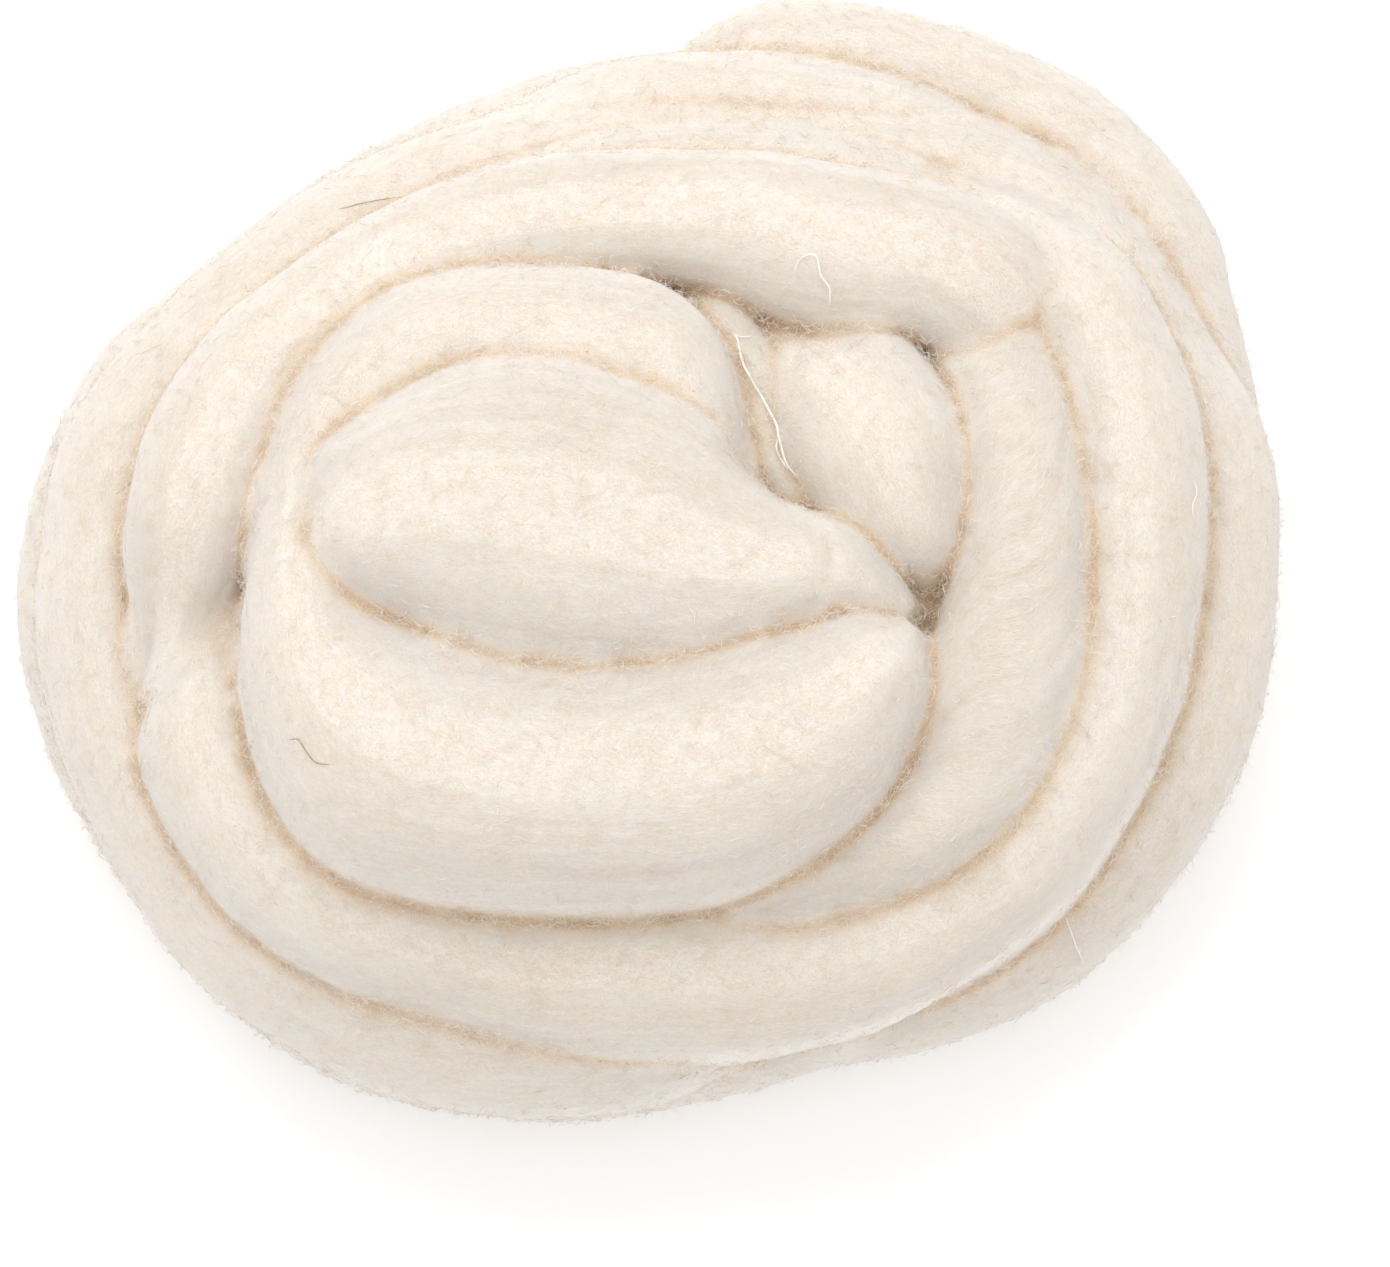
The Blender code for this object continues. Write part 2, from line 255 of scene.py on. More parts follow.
# The free end: it comes up beside the core, bends over to the left and swells into the belly at the front.
FOLDED_END = [
    (16.5, 5, 52, 5, 12),
    (10.5, 14, 56, 9, 17),
    (2, 28.5, 58, 14, 18),
    (-10, 32, 58, 14.5, 18),
    (-22, 34.5, 58, 12.5, 18),
    (-35.5, 33.8, 57, 12.2, 17),
    (-46, 28, 56, 11.8, 17),
    (-54.5, 20, 55, 11, 17),
    (-60, 8.5, 54, 8.8, 17),
    (-62, -2, 54, 8.5, 18),
    (-62, -13, 55, 10, 20),
    (-57.5, -27, 56, 16, 22),
    (-44.5, -40.5, 56, 24.3, 24),
    (-25, -46.2, 56, 23.6, 24),
    (-5, -47.4, 56, 22.8, 24),
    (15.5, -44.4, 56.5, 22.4, 24),
    (31.5, -36.5, 56.5, 18.6, 23),
    (43.5, -25.5, 55.5, 10.6, 20),
    (48.5, -20, 52, 4, 14),
]

# The core, the fold that meets it from the right, and two leaf-shaped folds behind them.
CORE = [
    (-60.5, -3, 57, 6, 10),
    (-58, -3, 59, 12, 16),
    (-51, -1.5, 61, 17.5, 20.5),
    (-40, 0, 62, 23, 22),
    (-30, 0.2, 62, 27.8, 22),
    (-20, -0.6, 62, 29.8, 22),
    (-10, -2.6, 62, 28.6, 22),
    (0, -5, 62, 26.8, 22),
    (10, -8.4, 61.5, 22, 21.5),
    (20, -10, 61, 15.3, 20.5),
    (30, -10.5, 60, 10.8, 19.5),
]
CORE_FOLD = [
    (48.5, -15, 54, 3, 9),
    (43.5, -13.4, 55.5, 5, 15),
    (38, -11.6, 56, 8, 18.5),
    (33, -10.4, 56.5, 10.4, 20),
    (22, -10.6, 58, 13.4, 21.7),
    (13, -13, 59, 11.3, 22),
    (5, -15.8, 60, 7.5, 21.5),
    (-3, -17.8, 60, 4, 21),
]
PETAL = [
    (16, 50, 38, 7, 12),
    (21.5, 41, 42, 11, 13),
    (28.5, 34, 45.5, 14, 14.5),
    (35.3, 27.4, 49.5, 15.6, 15.5),
    (40.2, 20.3, 52.5, 16, 16.5),
    (43.4, 13.5, 54, 15.3, 17),
    (46, 6.4, 54, 13.5, 16.5),
    (49.2, -0.8, 52, 10.7, 15.5),
    (51.8, -5.9, 50, 7.8, 13.5),
    (52.8, -9.6, 48, 4, 9.5),
]
TUCKED_FOLD = [
    (4, 47, 44, 5, 11),
    (10.5, 41, 47, 8, 12.5),
    (16.5, 32, 48, 8.5, 12.5),
    (21.5, 20, 48.5, 7.5, 12.5),
    (27, 10, 49, 6.5, 12),
    (34, 2, 48, 4, 11),
]

# How a strand's sections are spaced and shaped.
CURVE_FINENESS = 24          # points between two rows of a table, before they are spaced out evenly
SECTION_STEP = 1.6 * MM      # distance between the sections of a strand
SECTION_SIDES = 56           # points round one section
SQUARENESS = 2.7             # 2 is an ellipse: turns that lie on each other are a little squarer
NOSE_REACH = 0.62            # a strand's rounded end reaches this share of its half width further
NOSE_RINGS = 7
NOSE_CLOSING = 0.98          # share of a quarter circle after which a flat cap closes the end
SHORTEST = 1e-12             # lengths are divided by no less than this
TURN_SHIFT = 4.0             # metres by which each turn's laid coordinates stand off the one before it


def spaced_sections(rows, step):
    """The rows as sections a step apart on one smooth curve, in metres, and how far along each one is."""
    rows = (np.array(rows, float) - [*MIDDLE, 0, 0, 0]) * MM
    padded = np.concatenate([rows[:1], rows, rows[-1:]])
    t = np.linspace(0, 1, CURVE_FINENESS, endpoint=False)[:, None]
    pieces = [
        0.5 * (2 * b + (c - a) * t + (2 * a - 5 * b + 4 * c - d) * t**2 + (3 * b - a - 3 * c + d) * t**3)
        for a, b, c, d in zip(padded, padded[1:], padded[2:], padded[3:])
    ]
    curve = np.concatenate(pieces + [rows[-1:]])
    run = np.concatenate([[0], np.cumsum(np.linalg.norm(np.diff(curve[:, :3], axis=0), axis=1))])
    places = np.linspace(0, run[-1], max(3, round(run[-1] / step)) + 1)
    return np.stack([np.interp(places, run, column) for column in curve.T], axis=1), places


def with_noses(sections, run):
    """The sections with rounded ends beyond the first and last."""
    turn = np.linspace(0, math.pi / 2, NOSE_RINGS + 1)[1:, None] * NOSE_CLOSING
    for end, inner, order in ((0, 1, -1), (-1, -2, 1)):
        outward = sections[end, :3] - sections[inner, :3]
        outward /= np.linalg.norm(outward)
        reach = np.sin(turn) * sections[end, 3] * NOSE_REACH
        nose = np.hstack([sections[end, :3] + outward * reach, sections[end, 3:] * np.cos(turn)])
        nose_run = run[end] + order * reach[:, 0]
        if order < 0:
            sections, run = np.vstack([nose[::-1], sections]), np.concatenate([nose_run[::-1], run])
        else:
            sections, run = np.vstack([sections, nose]), np.concatenate([run, nose_run])
    return sections, run


def unit(vectors):
    """The vectors, each made one long."""
    return vectors / np.maximum(np.linalg.norm(vectors, axis=-1, keepdims=True), SHORTEST)


def strand(rows, step=SECTION_STEP, sides=SECTION_SIDES, lean=0.0, tuck=0.0, squareness=SQUARENESS):
    """A closed strand through the sections, as points, faces and how the wool lies at each point: the
    distance along the strand and the place in its section, and the direction of its fibres, which lean from
    the strand's own direction by that many degrees. Its inner side is tucked that far under the next turn."""
    sections, run = with_noses(*spaced_sections(rows, step))
    across = unit(np.gradient(sections[:, :2], axis=0))[:, ::-1] * [1, -1]
    inward = -np.sign(np.sum(across * sections[:, :2], axis=1, keepdims=True))
    sections[:, :2] += across * inward * tuck / 2
    sections[:, 3] += tuck / 2
    middle, half_width, half_height = sections[:, None, :3], sections[:, 3:4, None], sections[:, 4:5, None]
    forward = unit(np.gradient(sections[:, :3], axis=0))
    flat = unit(forward * [1, 1, 0])
    across = np.stack([flat[:, 1], -flat[:, 0], 0 * flat[:, 0]], axis=1)[:, None, :]
    angle = np.linspace(0, math.tau, sides, endpoint=False)
    side = np.sign(np.cos(angle)) * np.abs(np.cos(angle)) ** (2 / squareness)
    rise = np.sign(np.sin(angle)) * np.abs(np.sin(angle)) ** (2 / squareness)
    up = np.array([0.0, 0.0, 1.0])
    points = middle + across * half_width * side[:, None] + up * half_height * rise[:, None]
    points[..., 2] = np.maximum(points[..., 2], 0.0)
    around = unit(-across * half_width * np.sin(angle)[:, None] + up * half_height * np.cos(angle)[:, None])

    lean = math.radians(lean)
    flow = unit(forward[:, None, :] * math.cos(lean) + around * math.sin(lean))
    turned = angle[None, :] - (run * math.tan(lean) / np.mean(sections[:, 3]))[:, None]
    laid = np.stack([
        np.broadcast_to(run[:, None], turned.shape),
        half_width[..., 0] * np.cos(turned),
        half_height[..., 0] * np.sin(turned),
    ], axis=2)

    count = len(sections)
    ring, corner = np.meshgrid(np.arange(count - 1), np.arange(sides), indexing="ij")
    following = (corner + 1) % sides
    quads = np.stack([ring * sides + corner, (ring + 1) * sides + corner,
                      (ring + 1) * sides + following, ring * sides + following], axis=2)
    caps = [list(range(sides)), [(count - 1) * sides + k for k in reversed(range(sides))]]
    faces = quads.reshape(-1, 4).tolist() + caps
    return points.reshape(-1, 3), faces, laid.reshape(-1, 3), flow.reshape(-1, 3)


def in_scene(name, data):
    """A new object at the origin, in the scene."""
    obj = bpy.data.objects.new(name, data)
    bpy.context.scene.collection.objects.link(obj)
    return obj


def lay_turns(strands):
    """All the strands as they lie, overlapping where they press on each other, as one object."""
    points, faces, laid, flow = [], [], [], []
    for number, (turn_points, turn_faces, turn_laid, turn_flow) in enumerate(strands):
        first = sum(len(part) for part in points)
        points.append(turn_points)
        faces += [[first + k for k in face] for face in turn_faces]
        laid.append(turn_laid + [number * TURN_SHIFT, 0, 0])
        flow.append(turn_flow)
    mesh = bpy.data.meshes.new("laid_turns")
    mesh.from_pydata(np.concatenate(points).tolist(), [], faces)
    for title, values in (("laid", laid), ("flow", flow)):
        layer = mesh.attributes.new(title, "FLOAT_VECTOR", "POINT")
        layer.data.foreach_set("vector", np.concatenate(values).astype(np.float32).ravel())
    return in_scene("laid_turns", mesh)


FOOT_STEP = 3.0 * MM         # the foot and the hidden turns are laid more coarsely
FOOT_SIDES = 36
RING_TUCK = 5.0 * MM         # how far the outer turns run on under the next turn inwards
PACKED_SQUARENESS = 3.0      # the hidden wool fills the room under the turns
TIGHT_SQUARENESS = 3.6       # the upper turns are pressed flat against each other
FLAT_SQUARENESS = 4.3        # and the third turn the flattest of them

turns = lay_turns([
    strand(OUTER_FOOT + OUTER_FOOT[:2], FOOT_STEP, FOOT_SIDES),
    strand(foot_spiral(), FOOT_STEP, FOOT_SIDES),
    strand(EYE, FOOT_STEP, FOOT_SIDES),
    strand(hidden_turn + hidden_turn[:2], FOOT_STEP, FOOT_SIDES, squareness=PACKED_SQUARENESS),
    strand(HEART, FOOT_STEP, FOOT_SIDES, squareness=PACKED_SQUARENESS),
    strand(OUTER_TURN, tuck=RING_TUCK),
    strand(SPLIT_RIDGE, tuck=RING_TUCK),
    strand(TOP_RIGHT_TURN, tuck=RING_TUCK),
    strand(SECOND_TURN, tuck=RING_TUCK, squareness=TIGHT_SQUARENESS),
    strand(THIRD_TURN, tuck=RING_TUCK, squareness=FLAT_SQUARENESS),
    strand(INNER_TURN, lean=INNER_TURN_LEAN, squareness=TIGHT_SQUARENESS),
    strand(FOLDED_END, squareness=TIGHT_SQUARENESS),
    strand(CORE, squareness=TIGHT_SQUARENESS),
    strand(CORE_FOLD, squareness=TIGHT_SQUARENESS),
    strand(PETAL, squareness=TIGHT_SQUARENESS),
    strand(TUCKED_FOLD, squareness=TIGHT_SQUARENESS),
])

# Places where two turns run into each other without a crease: x, y, height and reach in millimetres, and
# how fully they merge.
MERGING_PLACES = [
    (72, 62, 50, 17, 1.0),
    (14, -7, 80, 13, 1.0),
    (4, -12, 82, 14, 1.0),
    (79, 66, 40, 13, 0.8),
    (-81, -19, 46, 15, 1.0),
    (-60, 4, 64, 11, 1.0),
    (89, 59, 38, 8, 0.5),
]
# Places where a crease stands open: the turns are pressed less there, and its painted shadow is a darker
# brown, in the same columns.
OPEN_CREASES = [
    (9, 44.6, 58, 12, 1.0),
    (20.8, 43, 58, 12, 1.0),
    (29, 40, 58, 12, 0.9),
    (38, 38, 58, 12, 0.9),
    (47, 36, 57, 12, 1.0),
    (52.5, 28, 56, 10, 0.9),
    (56, 19, 56, 9, 0.9),
    (57.5, 9, 56, 9, 0.8),
    (56.5, -2, 56, 10, 1.0),
    (53, -10, 56, 11, 1.0),
    (50.4, -17, 56, 11, 1.0),
    (49.5, -26, 56, 10, 0.8),
    (-70.5, 17, 52, 9, 0.6),
    (-71, 7, 52, 10, 0.9),
    (-72, -4, 52, 9, 0.7),
    (-73.8, -28, 46, 9, 0.7),
    (-71.5, -38, 46, 9, 0.5),
    (10.6, -26, 72, 9, 0.6),
    (-14.8, -69, 46, 9, 0.5),
]
PLACE_FADE = 1.5             # a place has its full effect up to a third of its reach, and fades from there

VOXEL = 1.1 * MM             # size of the grown surface's faces
FLAT_HEIGHT = 0.6 * MM       # whatever lies lower than this is pressed flat on the surface


def grown_together(turns):
    """A new object: the turns' outer surface alone, with even small faces. Each point is marked with how
    fully it merges into the next turn, and how far open the crease beside it stands."""
    remesh = turns.modifiers.new("grow_together", "REMESH")
    remesh.mode = "VOXEL"
    remesh.voxel_size = VOXEL
    graph = bpy.context.evaluated_depsgraph_get()
    mesh = bpy.data.meshes.new_from_object(turns.evaluated_get(graph))
    turns.modifiers.clear()
    points = np.empty(len(mesh.vertices) * 3, np.float32)
    mesh.vertices.foreach_get("co", points)
    points = points.reshape(-1, 3)
    points[points[:, 2] < FLAT_HEIGHT, 2] = 0.0
    mesh.vertices.foreach_set("co", points.ravel())
    for title, places in (("merged", MERGING_PLACES), ("opened", OPEN_CREASES)):
        near = np.zeros(len(points))
        for x, y, height, reach, share in places:
            place = (np.array([x, y, height]) - [*MIDDLE, 0]) * MM
            away = np.linalg.norm(points - place, axis=1) / (reach * MM)
            near = np.maximum(near, share * np.clip(PLACE_FADE - PLACE_FADE * away, 0, 1))
        mesh.attributes.new(title, "FLOAT", "POINT").data.foreach_set("value", near.astype(np.float32))
    return in_scene("hank", mesh)


def add_node(tree, kind, inputs=(), **settings):
    """Adds a node with its settings, and sets or links its inputs, given by name or by place."""
    made = tree.nodes.new(kind)
    for name, value in settings.items():
        setattr(made, name, value)
    for key, value in inputs.items() if isinstance(inputs, dict) else enumerate(inputs):
        named = [socket for socket in made.inputs if socket.enabled and socket.name == key]
        socket = named[0] if named else made.inputs[key]
        if isinstance(value, bpy.types.NodeSocket):
            tree.links.new(value, socket)
        elif value is not None:
            socket.default_value = value
    return made


def result(made):
    """The output socket that a node's settings leave in use."""
    return next(socket for socket in made.outputs if socket.enabled)


def new_tree(name, kind, inputs, outputs):
    """A node tree with named inputs, as (name, socket type, default), and named outputs."""
    tree = bpy.data.node_groups.new(name, kind)
    for title, socket_type, default in inputs:
        socket = tree.interface.new_socket(title, in_out="INPUT", socket_type=socket_type)
        if default is not None:
            socket.default_value = default
    for title, socket_type in outputs:
        tree.interface.new_socket(title, in_out="OUTPUT", socket_type=socket_type)
    return tree, tree.nodes.new("NodeGroupInput").outputs, tree.nodes.new("NodeGroupOutput").inputs


def math_of(tree, operation, *values):
    """The result of a sum, product or other operation on numbers."""
    return add_node(tree, "ShaderNodeMath", values, operation=operation).outputs[0]


def vector_of(tree, operation, *values):
    """The result of an operation on vectors."""
    return add_node(tree, "ShaderNodeVectorMath", values, operation=operation).outputs[0]


def scaled_by(tree, vector, amount):
    """The vector, so many times as long."""
    return add_node(tree, "ShaderNodeVectorMath", {0: vector, "Scale": amount}, operation="SCALE").outputs[0]


def vector_from(tree, x, y, z):
    """A vector put together from its three parts."""
    return add_node(tree, "ShaderNodeCombineXYZ", (x, y, z)).outputs[0]


def ramp_of(tree, value, start, end, low=0.0, high=1.0, **settings):
    """How far the value has come from start to end, spread from low to high."""
    return add_node(tree, "ShaderNodeMapRange", (value, start, end, low, high), **settings).outputs[0]


def mix_of(tree, data_type, share, first, second):
    """The first of two values, with that share of the second."""
    inputs = {"Factor": share, "A": first, "B": second}
    return result(add_node(tree, "ShaderNodeMix", inputs, data_type=data_type))


NOISE_MIDDLE = 0.5           # the value that a noise strays from


def noise_of(tree, place, detail, extra=()):
    """A noise at a place that is measured in units of its own grain, with extra inputs if there are any."""
    inputs = {"Vector": place, "Scale": 1.0, "Detail": detail, **dict(extra)}
    return add_node(tree, "ShaderNodeTexNoise", inputs)


def attribute_of(tree, name, data_type="FLOAT"):
    """A named attribute of the points that a Geometry Nodes tree works on."""
    return result(add_node(tree, "GeometryNodeInputNamedAttribute", {"Name": name}, data_type=data_type))


def ended_tree(tree, geometry, given, put):
    """Ends a Geometry Nodes tree: smooth shading, real geometry instead of instances, and its material."""
    smooth = add_node(tree, "GeometryNodeSetShadeSmooth", {"Geometry": geometry})
    whole = add_node(tree, "GeometryNodeRealizeInstances", {"Geometry": result(smooth)})
    painted = add_node(tree, "GeometryNodeSetMaterial",
                       {"Geometry": result(whole), "Material": given["Material"]})
    tree.links.new(result(painted), put["Geometry"])
    return tree


SEAM_SPREAD = 2.5            # how fast the seam's mark fills up beside the line where two turns meet
TURN_CHANGE = 0.001          # a blurred turn number that is off by more than this is beside another turn
MARK_BLUR = 2                # passes that soften the mark of the hollows
OUTWARD_BLUR = 5             # passes that even out the direction in which the wool swells
DEEPEST_GROOVE = 1.5         # a groove's mark goes no higher than this
GEOMETRY_OUT = [("Geometry", "NodeSocketGeometry")]


def pressed_wool_tree():
    """Geometry Nodes: makes wool of the turns' outer surface. It lays the turns' own fibre directions on it,
    softens its creases, marks how far each point lies in a hollow, a groove or a valley, presses the turns
    flatter and fills the valleys, and raises bundles, streaks and lumps."""
    inputs = [
        ("Geometry", "NodeSocketGeometry", None),
        ("Laid Turns", "NodeSocketObject", None),
        ("Softening", "NodeSocketInt", 1),
        ("Merging", "NodeSocketInt", 60),
        ("Pressing", "NodeSocketFloat", 0.5),
        ("Edge Relief", "NodeSocketFloat", -0.7),
        ("Filling", "NodeSocketFloat", 0.25),
        ("Pressing Reach", "NodeSocketInt", 90),
        ("Healing", "NodeSocketInt", 1),
        ("Seam Reach", "NodeSocketInt", 4),
        ("Bundle Height", "NodeSocketFloat", 1.8 * MM),
        ("Bundle Length", "NodeSocketFloat", 80 * MM),
        ("Bundle Width", "NodeSocketFloat", 8 * MM),
        ("Streak Height", "NodeSocketFloat", 0.7 * MM),
        ("Streak Length", "NodeSocketFloat", 30 * MM),
        ("Streak Width", "NodeSocketFloat", 3.4 * MM),
        ("Lump Height", "NodeSocketFloat", 2.4 * MM),
        ("Lump Size", "NodeSocketFloat", 24 * MM),
        ("Hollow Reach", "NodeSocketInt", 10),
        ("Hollow Depth", "NodeSocketFloat", 0.65 * MM),
        ("Groove Reach", "NodeSocketInt", 4),
        ("Groove Depth", "NodeSocketFloat", 0.45 * MM),
        ("Groove Cut", "NodeSocketFloat", 0.7 * MM),
        ("Valley Depth", "NodeSocketFloat", 5.0 * MM),
        ("Material", "NodeSocketMaterial", None),
    ]
    tree, given, put = new_tree("pressed_wool", "GeometryNodeTree", inputs, GEOMETRY_OUT)
    turns = add_node(tree, "GeometryNodeObjectInfo", {"Object": given["Laid Turns"]}).outputs["Geometry"]
    position = tree.nodes.new("GeometryNodeInputPosition").outputs[0]
    normal = tree.nodes.new("GeometryNodeInputNormal").outputs[0]

    def blurred(value, passes, weight=1.0, data_type="FLOAT_VECTOR"):
        """The value, evened out over neighbouring points in so many passes."""
        inputs = {"Value": value, "Iterations": passes, "Weight": weight}
        return result(add_node(tree, "GeometryNodeBlurAttribute", inputs, data_type=data_type))

    def stored(geometry, name, value, data_type="FLOAT"):
        """The geometry, with the value kept on its points under that name."""
        inputs = {"Geometry": geometry, "Name": name, "Value": value}
        return result(add_node(tree, "GeometryNodeStoreNamedAttribute", inputs,
                               data_type=data_type, domain="POINT"))

    def moved_to(geometry, place):
        """The geometry, with its points moved to the place."""
        return result(add_node(tree, "GeometryNodeSetPosition", {"Geometry": geometry, "Position": place}))

    def sunk_depth(passes):
        """How deep the surface lies under its own blurred form."""
        sunk = vector_of(tree, "SUBTRACT", blurred(position, passes), position)
        along_normal = add_node(tree, "ShaderNodeVectorMath", (sunk, normal), operation="DOT_PRODUCT")
        return along_normal.outputs["Value"]

    # The largest shell alone is kept: a hole that the turns enclose has no skin of its own.
    island = tree.nodes.new("GeometryNodeInputMeshIsland").outputs["Island Index"]
    size = add_node(tree, "GeometryNodeAccumulateField", {"Value": 1.0, "Group ID": island}).outputs["Total"]
    largest = add_node(tree, "GeometryNodeAttributeStatistic",
                       {"Geometry": given["Geometry"], "Attribute": size}).outputs["Max"]
    inner = math_of(tree, "LESS_THAN", size, largest)
    geometry = result(add_node(tree, "GeometryNodeDeleteGeometry",
                               {"Geometry": given["Geometry"], "Selection": inner}, domain="POINT"))

    # Each point takes over how the wool lies in the turn nearest to it.
    for name in ("laid", "flow"):
        its_own = attribute_of(tree, name, "FLOAT_VECTOR")
        sampled = add_node(tree, "GeometryNodeSampleNearestSurface",
                           {"Mesh": turns, "Value": its_own, "Sample Position": position},
                           data_type="FLOAT_VECTOR")
        geometry = stored(geometry, name, result(sampled), "FLOAT_VECTOR")
    laid = attribute_of(tree, "laid", "FLOAT_VECTOR")

    # A seam is marked where points of two turns are neighbours.
    run = add_node(tree, "ShaderNodeSeparateXYZ", (laid,)).outputs["X"]
    turn_number = math_of(tree, "ROUND", math_of(tree, "DIVIDE", run, TURN_SHIFT))
    mean_number = blurred(turn_number, 1, data_type="FLOAT")
    change = math_of(tree, "ABSOLUTE", math_of(tree, "SUBTRACT", mean_number, turn_number))
    at_seam = math_of(tree, "GREATER_THAN", change, TURN_CHANGE)
    spread = math_of(tree, "MULTIPLY", blurred(at_seam, given["Seam Reach"], data_type="FLOAT"), SEAM_SPREAD)
    geometry = stored(geometry, "seam", math_of(tree, "MINIMUM", spread, 1.0))
    seam = attribute_of(tree, "seam")

    # Where turns run into each other the crease is blurred away, and all others are softened a little.
    geometry = moved_to(geometry, blurred(position, given["Merging"], attribute_of(tree, "merged")))
    geometry = moved_to(geometry, blurred(position, given["Softening"]))

    # How deep each point lies is marked at three scales: the hollow of a crease, the fine groove at its
    # bottom, and the wide valley between two turns.
    hollow = math_of(tree, "DIVIDE", sunk_depth(given["Hollow Reach"]), given["Hollow Depth"])
    geometry = stored(geometry, "hollow", blurred(hollow, MARK_BLUR, data_type="FLOAT"))
    groove = math_of(tree, "DIVIDE", sunk_depth(given["Groove Reach"]), given["Groove Depth"])
    groove = math_of(tree, "MINIMUM", math_of(tree, "MAXIMUM", groove, 0.0), DEEPEST_GROOVE)
    geometry = stored(geometry, "groove", groove)
    valley = math_of(tree, "MAXIMUM", sunk_depth(given["Pressing Reach"]), 0.0)
    geometry = stored(geometry, "valley", math_of(tree, "DIVIDE", valley, given["Valley Depth"]))

    # The turns are pressed towards the blurred form, less so beside an open crease. Then the valleys are
    # filled a little, and the grooves cut sharper.
    relieved = math_of(tree, "MULTIPLY_ADD", attribute_of(tree, "opened"), given["Edge Relief"], 1.0)
    pressing = math_of(tree, "MULTIPLY", given["Pressing"], relieved)
    pressed = mix_of(tree, "VECTOR", pressing, position, blurred(position, given["Pressing Reach"]))
    geometry = moved_to(geometry, pressed)
    still_sunk = math_of(tree, "MULTIPLY", attribute_of(tree, "valley"), given["Valley Depth"])
    filled = math_of(tree, "MULTIPLY", still_sunk, given["Filling"])
    cut = math_of(tree, "MULTIPLY", attribute_of(tree, "groove"), given["Groove Cut"])
    outward = vector_of(tree, "NORMALIZE", blurred(normal, OUTWARD_BLUR))
    swelling = scaled_by(tree, outward, math_of(tree, "SUBTRACT", filled, cut))
    geometry = result(add_node(tree, "GeometryNodeSetPosition", {"Geometry": geometry, "Offset": swelling}))

    # Bundles and streaks run along the wool and stop at the seams. Lumps lie anywhere.
    def raised(place, height):
        """Ridges and dips of a noise, up to about half the height either way."""
        noise = noise_of(tree, place, 1.0).outputs[0]
        return math_of(tree, "MULTIPLY", math_of(tree, "SUBTRACT", noise, NOISE_MIDDLE), height)

    def along(length, width):
        """The laid position in units of a ridge's length and width."""
        return vector_of(tree, "DIVIDE", laid, vector_from(tree, length, width, width))

    bundles = raised(along(given["Bundle Length"], given["Bundle Width"]), given["Bundle Height"])
    streaks = raised(along(given["Streak Length"], given["Streak Width"]), given["Streak Height"])
    size = vector_from(tree, *(given["Lump Size"],) * 3)
    lumps = raised(vector_of(tree, "DIVIDE", position, size), given["Lump Height"])
    off_seam = math_of(tree, "SUBTRACT", 1.0, seam)
    lengthwise = math_of(tree, "MULTIPLY", math_of(tree, "ADD", bundles, streaks), off_seam)
    offset = scaled_by(tree, normal, math_of(tree, "ADD", lengthwise, lumps))
    above_surface = vector_of(tree, "MAXIMUM", vector_of(tree, "ADD", position, offset), (-1.0, -1.0, 0.0))
    geometry = moved_to(geometry, above_surface)
    geometry = moved_to(geometry, blurred(position, given["Healing"], seam))
    return ended_tree(tree, geometry, given, put)


# The wool's look close up: two layers of fine crimped fibres over soft streaks along the strand.
FIBRE_LINE = 0.16            # how far a noise may be off its middle level and still draw a fibre
UNDER_LINE = 0.2             # the same for the lower layer
UNDER_SCALE = 1.6            # the lower layer's fibres are this many times finer
UNDER_SHIFT = 7.3            # and lie elsewhere in the noise
STREAK_SHIFT = 3.1
STREAK_ROUGHNESS = 0.62
TOP_SHARE = 0.7              # how strongly the upper fibres, the lower ones and the streaks show
UNDER_SHARE = 0.5
STREAK_SHARE = 1.2


def crimped_fibre_pattern():
    """Shader group: fine crimped fibres and soft streaks along a strand. Puts out their height, and the mask
    of the fibres and of the streaks alone."""
    inputs = [
        ("Laid", "NodeSocketVector", None),
        ("Fibre Length", "NodeSocketFloat", 1.7 * MM),
        ("Fibre Width", "NodeSocketFloat", 0.38 * MM),
        ("Crimp", "NodeSocketFloat", 1.5),
        ("Streak Length", "NodeSocketFloat", 26 * MM),
        ("Streak Width", "NodeSocketFloat", 1.3 * MM),
    ]
    outputs = [("Height", "NodeSocketFloat"), ("Fibres", "NodeSocketFloat"), ("Streaks", "NodeSocketFloat")]
    tree, given, put = new_tree("crimped_fibres", "ShaderNodeTree", inputs, outputs)

    def stretched(length, width, scale, shift):
        """The laid position in units of a fibre's length and width, for one layer of fibres."""
        placed = vector_of(tree, "DIVIDE", given["Laid"], vector_from(tree, length, width, width))
        return vector_of(tree, "MULTIPLY_ADD", placed, (scale,) * 3, (shift,) * 3)

    def fibre_layer(scale, shift, line):
        """Thin crimped lines: the level line of a noise, which winds as a loose fibre does."""
        place = stretched(given["Fibre Length"], given["Fibre Width"], scale, shift)
        noise = noise_of(tree, place, 1.0, {"Distortion": given["Crimp"]}).outputs[0]
        off_level = math_of(tree, "ABSOLUTE", math_of(tree, "SUBTRACT", noise, NOISE_MIDDLE))
        return ramp_of(tree, off_level, 0.0, line, 1.0, 0.0, interpolation_type="SMOOTHSTEP")

    top = fibre_layer(1.0, 0.0, FIBRE_LINE)
    under = fibre_layer(UNDER_SCALE, UNDER_SHIFT, UNDER_LINE)
    streak_place = stretched(given["Streak Length"], given["Streak Width"], 1.0, STREAK_SHIFT)
    streaks = noise_of(tree, streak_place, 3.0, {"Roughness": STREAK_ROUGHNESS}).outputs[0]
    fibres = math_of(tree, "MULTIPLY_ADD", under, UNDER_SHARE, math_of(tree, "MULTIPLY", top, TOP_SHARE))
    tree.links.new(math_of(tree, "MULTIPLY_ADD", streaks, STREAK_SHARE, fibres), put["Height"])
    tree.links.new(fibres, put["Fibres"])
    tree.links.new(streaks, put["Streaks"])
    return tree


